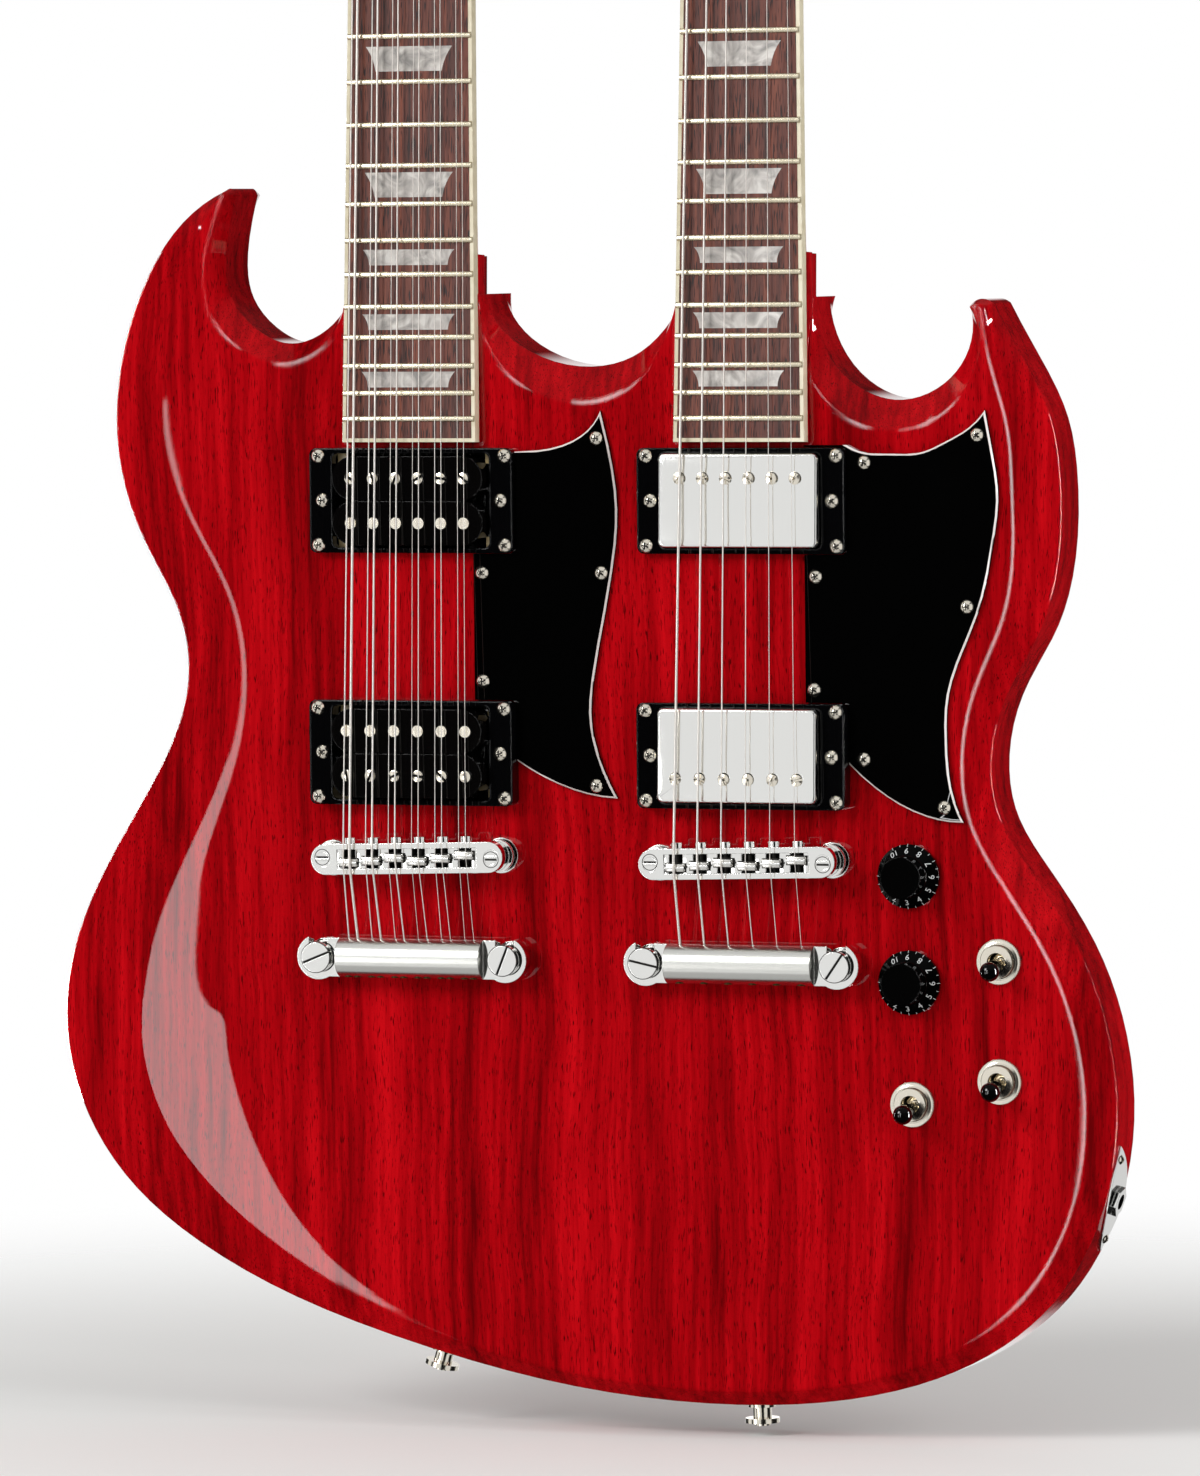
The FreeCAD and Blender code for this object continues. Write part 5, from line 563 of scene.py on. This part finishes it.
def piece(name, shape, slot, materials, body, *nodes):
    """A bmesh as a new piece with smooth curves and crisp edges. It stands for the CAD nodes named."""
    mesh = bpy.data.meshes.new(name)
    shape.to_mesh(mesh)
    shape.free()
    mesh.shade_smooth()
    mesh.set_sharp_from_angle(angle=CRISP_ANGLE)
    finished(name, mesh, materials, body, nodes)


def block(shape, low, high, edge, number=0):
    """Add a block with rounded edges and one material to a bmesh. Corners and radius are in millimetres."""
    low, high = Vector(low), Vector(high)
    size = (high - low) / 1000.0
    others = set(shape.faces)
    made = bmesh.ops.create_cube(shape, size=1.0, matrix=Matrix.Translation((low + high) / 2000.0)
                                 @ Matrix.Diagonal((*size, 1.0)))
    edges = list({line for vert in made["verts"] for line in vert.link_edges})
    bmesh.ops.bevel(shape, geom=edges, offset=edge / 1000.0, offset_type="OFFSET", segments=2, profile=0.5,
                    affect="EDGES", material=-1)
    for face in shape.faces:
        if face not in others:
            face.material_index = number


def seam(shape, centre, radius, width, thickness):
    """Add a flat dark ring, painted shade of the gap round a screw head, to a bmesh. Sizes are in
    millimetres.
    """
    middle = Vector(centre) / 1000.0
    corners = ((radius, 0.0), (radius + width, 0.0), (radius + width, thickness), (radius, thickness))
    line = [shape.verts.new(middle + Vector((reach, -height, 0.0)) / 1000.0) for reach, height in corners]
    edges = [shape.edges.new(pair) for pair in zip(line, line[1:] + line[:1])]
    bmesh.ops.spin(shape, geom=line + edges, cent=middle, axis=(0.0, 1.0, 0.0), angle=math.tau,
                   steps=SEAM_STEPS, use_merge=True)


def bridge_chrome_and_painted_shade(spot, normal, low, high):
    """Chrome, and painted shade, a dark chrome, in the slots of the bars and in the screw slots of their
    posts.
    """
    if high.x - low.x < BAR_LENGTH:
        return 0
    across = abs(spot.x - (low.x + high.x) / 2)
    along = spot.z - BRIDGE_Z
    slot = across < SLOT_REACH and abs(along) < SLOT_SIDE and spot.y > low.y + SLOT_DROP
    on_post = math.hypot(across - POST_REACH, along) < POST_RADIUS
    screw_slot = on_post and POST_SLOT_DEPTHS[0] < spot.y - POST_TOP < POST_SLOT_DEPTHS[1]
    return 1 if slot or screw_slot else 0


# The bars' slots and the posts' screw slots take the painted shade.
dressed("bridges_chromed", "bridges", [chrome, painted_shade_chrome], bridge_chrome_and_painted_shade)
saddles = sorted([(low, high) for low, high in corners_of("bridges") if low.y < SADDLE_FRONT],
                 key=lambda pair: pair[0].x)
shape = bmesh.new()
for start in (0, SADDLES):
    row = [(low + high) / 2 for low, high in saddles[start:start + SADDLES]]
    bar_x = (row[0].x + row[-1].x) / 2
    ends = [bar_x - SLOT_REACH - SLOT_HALF] + [spot.x for spot in row] + [bar_x + SLOT_REACH + SLOT_HALF]
    for left, right in zip(ends, ends[1:]):
        block(shape, (left + SLOT_HALF, -RIB_TOP, BRIDGE_Z - RIB_SIDE),
              (right - SLOT_HALF, -RIB_TOP + RIB_DEPTH, BRIDGE_Z + RIB_SIDE), edge=0.25)
piece("bridge_ribs", shape, "chrome_plate", [chrome], "guitar")

# Each saddle has a dark band round it, painted shade of the gap where it drops into its slot.
shape = bmesh.new()
for low, high in saddles:
    middle = (low + high) / 2
    wide, tall, deep = SADDLE_SIZE[0] / 2, SADDLE_SIZE[1] / 2, SADDLE_SIZE[2]
    top = low.y + SADDLE_TOP_DROP
    block(shape, (middle.x - wide, top, middle.z - tall),
          (middle.x + wide, top + deep, middle.z + tall), edge=0.6)
    # The band round the saddle is painted shade of its gap.
    block(shape, (middle.x - wide - SADDLE_GAP, GAP_LEVELS[0] - RIB_TOP, middle.z - tall - SADDLE_GAP),
          (middle.x + wide + SADDLE_GAP, GAP_LEVELS[1] - RIB_TOP, middle.z + tall + SADDLE_GAP),
          edge=0.05, number=1)
piece("bridge_saddles", shape, "chrome_plate", [saddle_nickel, painted_shade_chrome], "guitar")

# Each post shows as a round gap in the bar, with its screw slot across it, both as flat painted shade.
shape = bmesh.new()
for start in (0, SADDLES):
    bar_x = (saddles[start][0].x + saddles[start + SADDLES - 1][1].x) / 2
    for side in (1.0, -1.0):
        x = bar_x + side * POST_REACH
        seam(shape, (x, POST_TOP, BRIDGE_Z), *POST_SEAM)
        block(shape, (x - POST_SLOT_HALF[0], POST_TOP + POST_SLOT_FILL[0], BRIDGE_Z - POST_SLOT_HALF[1]),
              (x + POST_SLOT_HALF[0], POST_TOP + POST_SLOT_FILL[1], BRIDGE_Z + POST_SLOT_HALF[1]),
              edge=0.02)
bmesh.ops.recalc_face_normals(shape, faces=shape.faces)
piece("bridge_post_seam_shade", shape, "chrome_plate", [painted_shade_chrome], "guitar")

# Tailpieces: polished cast bars held by two big studs, whose screw slots stand at odd angles. The bar's
# plating is buffed softer than the chrome, so its highlights spread.
STUD_TURNS = (-22.0, -68.0, 12.0, -55.0)
STUD_BOUNDS = (0.0, 71.0, 143.0)
STUD_TOP = -10.0
INSERT_TOP = -5.0
STUD_RADIUS = 6.0
STUD_SLOT_DEPTHS = (0.1, 2.5)
STUD_SEAM = (6.2, 0.3, 0.1)
STUD_SEAM_DEPTH = 0.4
TAIL_BAR_REACH = 31.6

soft_chrome = finish_for("softly_polished_chrome",
                         {"Base Color": linear("#DADAD5"), "Metallic": 1.0, "Roughness": 0.24}, edge=0.0004)


def stud_turn(low, high):
    """The angle at which a stud stands."""
    if low.y > INSERT_TOP or high.x - low.x > BAR_LENGTH:
        return 0.0
    middle = (low.x + high.x) / 2
    return STUD_TURNS[sum(middle > edge for edge in STUD_BOUNDS)]


def tail_chrome_and_painted_shade(spot, normal, low, high):
    """Chrome for the studs, painted shade, a dark chrome, in their screw slots, and softly polished chrome
    for the bar.
    """
    if high.x - low.x > BAR_LENGTH:
        return 2 if abs(spot.x - (low.x + high.x) / 2) < TAIL_BAR_REACH else 0
    stud = high.y > 0.0 and low.y < STUD_TOP
    near = Vector((spot.x - (low.x + high.x) / 2, spot.z - (low.z + high.z) / 2)).length < STUD_RADIUS
    return 1 if stud and near and STUD_SLOT_DEPTHS[0] < spot.y - low.y < STUD_SLOT_DEPTHS[1] else 0


dressed("tailpieces_chromed", "tailpieces", [chrome, painted_shade_chrome, soft_chrome], tail_chrome_and_painted_shade,
        turn=stud_turn)
# Each stud gets a flat dark ring, painted shade of the gap round its head.
shape = bmesh.new()
for low, high in corners_of("tailpieces"):
    if high.y > 0.0 and low.y < STUD_TOP:
        seam(shape, ((low.x + high.x) / 2, low.y + STUD_SEAM_DEPTH, (low.z + high.z) / 2), *STUD_SEAM)
bmesh.ops.recalc_face_normals(shape, faces=shape.faces)
piece("tail_stud_seam_shade", shape, "chrome_plate", [painted_shade_chrome], "guitar")

# Screws: nickelled steel with pressed cross recesses, driven in by hand. The recesses are drawn as flat dark
# crosses of painted shade, and each stands at the angle where its screw came to rest.
CROSS_REACH = 0.27
CROSS_WIDTH = 0.55
CROSS_DEPTH = 0.06
CROSS_TURN = 23.0
OUT_OF_ROUND = 0.3

paint(nickel, "screws")
shape = bmesh.new()
for index, (low, high) in enumerate(corners_of("screws")):
    width = high.x - low.x
    if abs(width - (high.z - low.z)) > OUT_OF_ROUND:
        continue
    top = low.y if low.y < 0.0 else high.y
    spot = Vector(((low.x + high.x) / 2, top, (low.z + high.z) / 2))
    # Each cross is a flat dark mark, painted shade of the recess.
    for arm in (0.0, 90.0):
        turn = Matrix.Rotation(math.radians(arm + CROSS_TURN * index), 4, "Y")
        bar = Matrix.Diagonal((width * CROSS_REACH, CROSS_DEPTH, CROSS_WIDTH / 2, 1.0))
        lay = Matrix.Rotation(math.radians(90.0), 4, "X")
        bmesh.ops.create_uvsphere(shape, u_segments=12, v_segments=6, radius=0.001,
                                  matrix=Matrix.Translation(spot / 1000.0) @ turn @ bar @ lay)
piece("screw_cross_shade", shape, "nickel_screws", [painted_shade_chrome], "guitar")

# Pickup rings: moulded plastic frames, screwed down at the corners, that hold the pickups by a screw each
# side. The polished mould leaves them deep black and glossy.
moulded = finish_for("moulded_black", {"Base Color": linear("#040405"), "Roughness": 0.05}, edge=0.0010)
paint(moulded, "pickup_rings")

# Pickup coils: two black bobbins wrapped in black tape on a brass-coloured base plate, whose corners show.
# Six screws and six slugs are the poles. The screws are in the upper row of a neck pickup and in the lower
# row of a bridge pickup, and their slots stand at all angles.
NECKS_X = (0.0, 143.0)
RINGS_Z = (-485.54, -589.0)
SCREW_ROWS = ((-476.34, 9.9, 9.26), (-598.2, 10.4, 13.24))
POLES = 6
POLE_WIDTH = 4.8
HEAD_THICKNESS = 0.35
HEAD_EDGE = 0.00015
HEAD_TURN = 37.0
SLOT_WIDTH = 0.8
PLATE_CORNERS = ((30.6, 34.2), (15.0, 19.4))
PLATE_HEIGHT = 1.5
PLATE_THICKNESS = 0.6

# The bobbins' moulded plastic and tape look deep black and shiny, and the plate like pale satin brass.
coil_black = finish_for("coil_black", {"Base Color": linear("#050404"), "Roughness": 0.06}, edge=0.0004)
plate_brass = finish_for("plate_brass", {"Base Color": linear("#F6DA9E"), "Roughness": 0.35})


def is_pole(spot, normal, low, high):
    """Number 0 for the poles, which are slim."""
    return 0 if high.x - low.x < POLE_WIDTH + 0.1 else None


def coil_finish(spot, normal, low, high):
    """Number 0 for all but the poles."""
    return None if high.x - low.x < POLE_WIDTH + 0.1 else 0


dressed("pickup_poles", "pickup_coils", [nickel], is_pole)
dressed("pickup_bobbins_and_plates", "pickup_coils", [coil_black], coil_finish)
shape = bmesh.new()
for ring_z in RINGS_Z:
    for side_x in (1.0, -1.0):
        for side_z in (1.0, -1.0):
            span_x = sorted(side_x * reach for reach in PLATE_CORNERS[0])
            span_z = sorted(ring_z + side_z * reach for reach in PLATE_CORNERS[1])
            block(shape, (span_x[0], PLATE_HEIGHT, span_z[0]),
                  (span_x[1], PLATE_HEIGHT + PLATE_THICKNESS, span_z[1]), edge=0.15)
piece("pickup_plate_corners", shape, "electrics_nickel", [plate_brass], "guitar")

# Pole screw heads: each a low round head with a wide slot, cut from a disc and raised.
shape = bmesh.new()
count = 0
for neck_x in NECKS_X:
    for row_z, pitch, top in SCREW_ROWS:
        for index in range(POLES):
            count += 1
            spot = Vector((neck_x + (index - (POLES - 1) / 2) * pitch, -top, row_z)) / 1000.0
            facing = (Matrix.Rotation(math.radians(HEAD_TURN * count), 4, "Y")
                      @ Matrix.Rotation(math.radians(90.0), 4, "X"))
            head = bmesh.new()
            bmesh.ops.create_circle(head, cap_ends=True, segments=32, radius=POLE_WIDTH / 2000.0)
            for side in (1.0, -1.0):
                parts = head.verts[:] + head.edges[:] + head.faces[:]
                bmesh.ops.bisect_plane(head, geom=parts, plane_co=(0.0, side * SLOT_WIDTH / 2000.0, 0.0),
                                       plane_no=(0.0, 1.0, 0.0))
            spare = [face for face in head.faces if abs(face.calc_center_median().y) < SLOT_WIDTH / 4000.0]
            bmesh.ops.delete(head, geom=spare, context="FACES")
            raised = bmesh.ops.extrude_face_region(head, geom=head.faces[:])["geom"]
            bmesh.ops.translate(head, verts=[item for item in raised if isinstance(item, bmesh.types.BMVert)],
                                vec=(0.0, 0.0, HEAD_THICKNESS / 1000.0))
            bmesh.ops.recalc_face_normals(head, faces=head.faces)
            rims = [edge for edge in head.edges if all(vert.co.z > 1e-6 for vert in edge.verts)]
            bmesh.ops.bevel(head, geom=rims, offset=HEAD_EDGE, offset_type="OFFSET", segments=2,
                            profile=0.5, affect="EDGES", material=-1)
            bmesh.ops.transform(head, verts=head.verts, matrix=Matrix.Translation(spot) @ facing)
            made = bpy.data.meshes.new("head")
            head.to_mesh(made)
            head.free()
            shape.from_mesh(made)
            bpy.data.meshes.remove(made)
bmesh.ops.recalc_face_normals(shape, faces=shape.faces)
piece("pole_screw_heads", shape, "nickel_screws", [nickel], "guitar")

# Pickup covers: drawn nickel silver with bright chrome. Their edges are rounded by the drawing, and each
# sits parallel to the strings, which rise towards the bridge.
COVER_HALF = (34.0, 19.0)
COVER_RIM = 0.93
COVER_REACH = 40.0
COVER_EDGE = 0.0011
COVER_TILT = math.radians(-2.05)
COVER_TOPS = (-8.76, -12.74)
SHARP = 0.5
SAME_LEVEL = 0.02


def merged(node):
    """A CAD node's mesh in metres, its loose triangles joined and its flat faces made whole."""
    shape = bmesh.new()
    shape.from_mesh(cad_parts[node].data)
    bmesh.ops.remove_doubles(shape, verts=shape.verts, dist=1e-6)
    bmesh.ops.dissolve_limit(shape, angle_limit=math.radians(0.2), verts=shape.verts, edges=shape.edges)
    return shape


def sharp_at(edge, level):
    """Whether an edge is sharp and lies at one level, in millimetres, in front of the body."""
    flush = all(abs(vert.co.y * 1000.0 - level) < SAME_LEVEL for vert in edge.verts)
    return flush and edge.calc_face_angle(0.0) > SHARP


shape = merged("pickup_covers")
top_edges = []
for edge in shape.edges:
    middle = (edge.verts[0].co + edge.verts[1].co) * 500.0
    ring_z, top = min(zip(RINGS_Z, COVER_TOPS), key=lambda cover: abs(middle.z - cover[0]))
    rim = max(abs(middle.x - NECKS_X[1]) / COVER_HALF[0], abs(middle.z - ring_z) / COVER_HALF[1])
    if rim > COVER_RIM and sharp_at(edge, top):
        top_edges.append(edge)
bmesh.ops.bevel(shape, geom=top_edges, offset=COVER_EDGE, offset_type="OFFSET", segments=5, profile=0.5,
                affect="EDGES", material=-1, loop_slide=True)
for ring_z in RINGS_Z:
    cover = [vert for vert in shape.verts if abs(vert.co.z * 1000.0 - ring_z) < COVER_REACH]
    bmesh.ops.rotate(shape, verts=cover, cent=(NECKS_X[1] / 1000.0, 0.0, ring_z / 1000.0),
                     matrix=Matrix.Rotation(COVER_TILT, 3, "X"))
piece("pickup_covers_rounded", shape, "chrome_plate", [chrome], "guitar", "pickup_covers")

# Pickguards, truss rod covers and rear cover: black sheet with a white core, screwed down. The edge is cut
# slanting, which shows the core as a thin pale line along the guards' free outlines.
PLY_LINE = 0.0007
GUARD_TOP = -2.4
RING_SIDE = 44.9
BETWEEN_NECKS_X = 120.0
SHEET_HAZE = 0.03333

# The sheet is polished to a black mirror with faint wiping haze, and its core is a matt off-white.
black_sheet = finish_for("polished_black_sheet", {"Base Color": linear("#020202")})
polish_haze(black_sheet, SHEET_HAZE, least=0.02, most=0.05, detail=3.0)
white_ply = finish_for("white_ply", {"Base Color": linear("#E8E0DC"), "Roughness": 0.4})

shape = merged("pickguards_and_covers")
free_edges = []
for edge in shape.edges:
    middle = (edge.verts[0].co + edge.verts[1].co) * 500.0
    reach = middle.x - NECKS_X[1 if middle.x > BETWEEN_NECKS_X else 0]
    if reach > RING_SIDE and sharp_at(edge, GUARD_TOP):
        free_edges.append(edge)
bmesh.ops.bevel(shape, geom=free_edges, offset=PLY_LINE, offset_type="OFFSET", segments=1, profile=0.5,
                affect="EDGES", material=1)
piece("pickguards_with_ply_line", shape, "black_gloss", [black_sheet, white_ply], "guitar",
      "pickguards_and_covers")

# Electrics: tinned cans and grey cable inside, the jack with its chrome plate screwed to the rim, and the
# nuts. The cable's vinyl jacket is a plain half-matt grey.
JACK_CENTRE = Vector((288.2, 19.0, -767.4))
JACK_AXIS = Vector((0.927, 0.0, -0.375))
JACK_BORE = 3.9
JACK_FROM_X = 262.0
CHANNEL_DEPTH = 20.0
NUT_LEVELS = (-4.0, 1.0)

cable = finish_for("grey_cable", {"Base Color": linear("#6C6A66"), "Roughness": 0.5})


def is_cable(spot, normal, low, high):
    """Number 0 for the cables, which lie deep in their channels."""
    return 0 if low.y > CHANNEL_DEPTH and high.x < JACK_FROM_X else None


def electrics_metal_and_painted_shade(spot, normal, low, high):
    """Nickel, chrome for the jack and its plate, and painted shade, a dark chrome, in its bore. Cables and
    switch nuts are left out.
    """
    if high.x > JACK_FROM_X:
        off = spot - JACK_CENTRE
        off -= off.dot(JACK_AXIS) * JACK_AXIS
        return 2 if off.length < JACK_BORE and abs(normal.dot(JACK_AXIS)) < 0.5 else 1
    nut = low.y < NUT_LEVELS[0] and high.y < NUT_LEVELS[1]
    return None if nut or low.y > CHANNEL_DEPTH else 0


dressed("cables", "electrics", [cable], is_cable)
dressed("pots_switches_and_jack", "electrics", [nickel, chrome, painted_shade_chrome],
        electrics_metal_and_painted_shade)

# Switch nuts: turned brass, nickel plated, that clamp the switches to the body. They are stepped and
# grooved, with a finely knurled rim by which they are turned down. The grooves are painted dark as painted
# shade.
SWITCHES = ((250.0, -671.0), (250.0, -719.5), (213.0, -729.5))
NUT_PROFILE = ((9.0, 0.0), (9.0, 1.2), (8.7, 1.6), (7.5, 1.9), (7.2, 1.3), (6.9, 1.9), (6.6, 2.3), (5.7, 2.4),
               (5.5, 1.6), (5.1, 2.0), (4.9, 4.1), (4.6, 4.38), (3.9, 4.38), (3.7, 3.9), (3.7, 1.0))
NUT_GROOVES = ((6.9, 7.5), (5.4, 5.7))
KNURLS = 72
KNURL_DEPTH = 0.3
KNURLED = (0.0088, 0.0092)

shape = bmesh.new()
for x, z in SWITCHES:
    centre = Vector((x, 0.0, z)) / 1000.0
    line = [shape.verts.new(centre + Vector((radius, -height, 0.0)) / 1000.0)
            for radius, height in NUT_PROFILE]
    edges = [shape.edges.new(pair) for pair in zip(line, line[1:])]
    bmesh.ops.spin(shape, geom=line + edges, cent=centre, axis=(0.0, 1.0, 0.0), angle=math.tau,
                   steps=2 * KNURLS, use_merge=True)
    for vert in shape.verts:
        out = vert.co - centre
        out.y = 0.0
        if KNURLED[0] < out.length < KNURLED[1]:
            tooth = round(math.atan2(out.z, out.x) / math.tau * 2 * KNURLS) % 2
            vert.co += out.normalized() * (KNURL_DEPTH / 1000.0 if tooth else 0.0)
    # Faces in the grooves take the painted shade.
    for face in shape.faces:
        out = face.calc_center_median() - centre
        out.y = 0.0
        if any(low < out.length * 1000.0 < high for low, high in NUT_GROOVES):
            face.material_index = 1
bmesh.ops.recalc_face_normals(shape, faces=shape.faces)
piece("switch_nuts", shape, "electrics_nickel", [nickel, painted_shade_chrome], "guitar")

# Levers: a turned and nickelled stem that tips in its switch, with a moulded tip pressed on its end. The tip
# is black, rounded and glossy.
LEVER_REST = math.radians(10.0)
PIVOT_DEPTH = 4.0
TIP_START = 9.5

tip_plastic = finish_for("moulded_tip", {"Base Color": linear("#060505"), "Roughness": 0.08}, edge=0.0003)
for node, (x, z) in zip(("neck_selector_lever", "six_pickup_lever", "twelve_pickup_lever"), SWITCHES):
    pivot = Vector((x, PIVOT_DEPTH, z))
    along = Vector((0.0, -math.cos(LEVER_REST), -math.sin(LEVER_REST)))
    dressed(node + "_tip", node, [tip_plastic],
            lambda spot, normal, low, high: 0 if (spot - pivot).dot(along) > TIP_START else None, node)
    dressed(node + "_stem", node, [nickel],
            lambda spot, normal, low, high: None if (spot - pivot).dot(along) > TIP_START else 0, node)

# Knobs: black acrylic with a clear coat, pushed on their shafts, on a skirt that carries the figures 10 down
# to 0 and a tick every half step. The figures stand with their tops to the crown, printed in grey white.
KNOBS = (("volume_knob", 212.5, -637.0), ("tone_knob", 212.5, -680.0))
SKIRT_SLOPE = math.atan2(3.0, 4.5)
FIGURES = 11
FIGURE_RADIUS = 10.6
FIGURE_HEIGHT = 4.12
FIGURE_SIZE = 3.6
PRINT_THICKNESS = 0.00003
TICK_RADIUS = 12.65
TICK_HEIGHT = 2.75
TICK_HALF = (0.00012, 0.0008, 0.00004)
HALF_STEP_TICK = 0.00055
FIRST_TURN = -30.0
FIGURE_STEP = 30.0

# The acrylic is glossy black, and the print a matt grey white.
knob_plastic = finish_for("black_acrylic",
                          {"Base Color": linear("#030303"), "Roughness": 0.05, "Specular IOR Level": 0.3},
                          edge=0.0004)
print_white = finish_for("printed_figures", {"Base Color": linear("#C9CCCC"), "Roughness": 0.5})
paint(knob_plastic, "volume_knob", "tone_knob")


def on_skirt(x, z, turn, radius, height):
    """The place on a knob's skirt at a clockwise turn, facing out of its slope with its top to the crown."""
    out = Vector((math.sin(turn), 0.0, math.cos(turn)))
    up = Vector((-out.x * math.cos(SKIRT_SLOPE), -math.sin(SKIRT_SLOPE), -out.z * math.cos(SKIRT_SLOPE)))
    right = Vector((-math.cos(turn), 0.0, math.sin(turn)))
    facing = Matrix((right, up, right.cross(up))).transposed().to_4x4()
    spot = Vector((x, -height, z)) + radius * out
    return Matrix.Translation(spot / 1000.0) @ facing


for node, x, z in KNOBS:
    shape = bmesh.new()
    for index in range(FIGURES):
        text = bpy.data.curves.new("figure", "FONT")
        text.body = str(FIGURES - 1 - index)
        text.size = FIGURE_SIZE / 1000.0
        text.align_x = "CENTER"
        text.align_y = "CENTER"
        text.extrude = PRINT_THICKNESS
        text.resolution_u = 3
        holder = bpy.data.objects.new("figure", text)
        figure = bpy.data.meshes.new_from_object(holder)
        turn = math.radians(FIRST_TURN + index * FIGURE_STEP)
        figure.transform(on_skirt(x, z, turn, FIGURE_RADIUS, FIGURE_HEIGHT))
        shape.from_mesh(figure)
        bpy.data.objects.remove(holder)
        bpy.data.curves.remove(text)
        bpy.data.meshes.remove(figure)
    for index in range(2 * FIGURES - 1):
        turn = math.radians(FIRST_TURN + index * FIGURE_STEP / 2)
        wide, tall, thick = TICK_HALF
        size = Matrix.Diagonal((wide, HALF_STEP_TICK if index % 2 else tall, thick, 1.0))
        bmesh.ops.create_circle(shape, cap_ends=True, segments=8, radius=1.0,
                                matrix=on_skirt(x, z, turn, TICK_RADIUS, TICK_HEIGHT) @ size)
    piece(node + "_figures", shape, "pearloid", [print_white], node)

# Strings: steel, the thicker ones wound with nickelled wire, strung from ball ends in the tailpieces to the
# posts. They look like fine silvery lines. The balls are brass, painted darker as painted shade deep in the
# bar.
BALL_ENDS_BELOW = -678.5

steel = finish_for("string_steel", {"Base Color": linear("#FAF5EE"), "Metallic": 1.0, "Roughness": 0.35})
# Brass darkened as painted shade under the bar.
shaded_ball_brass = finish_for("brass_ball_ends_in_painted_shade",
                        {"Base Color": linear("#40341E"), "Metallic": 1.0, "Roughness": 0.45})
dressed("strings_and_ball_ends", "strings", [steel, shaded_ball_brass],
        lambda spot, normal, low, high: 1 if spot.z < BALL_ENDS_BELOW else 0)
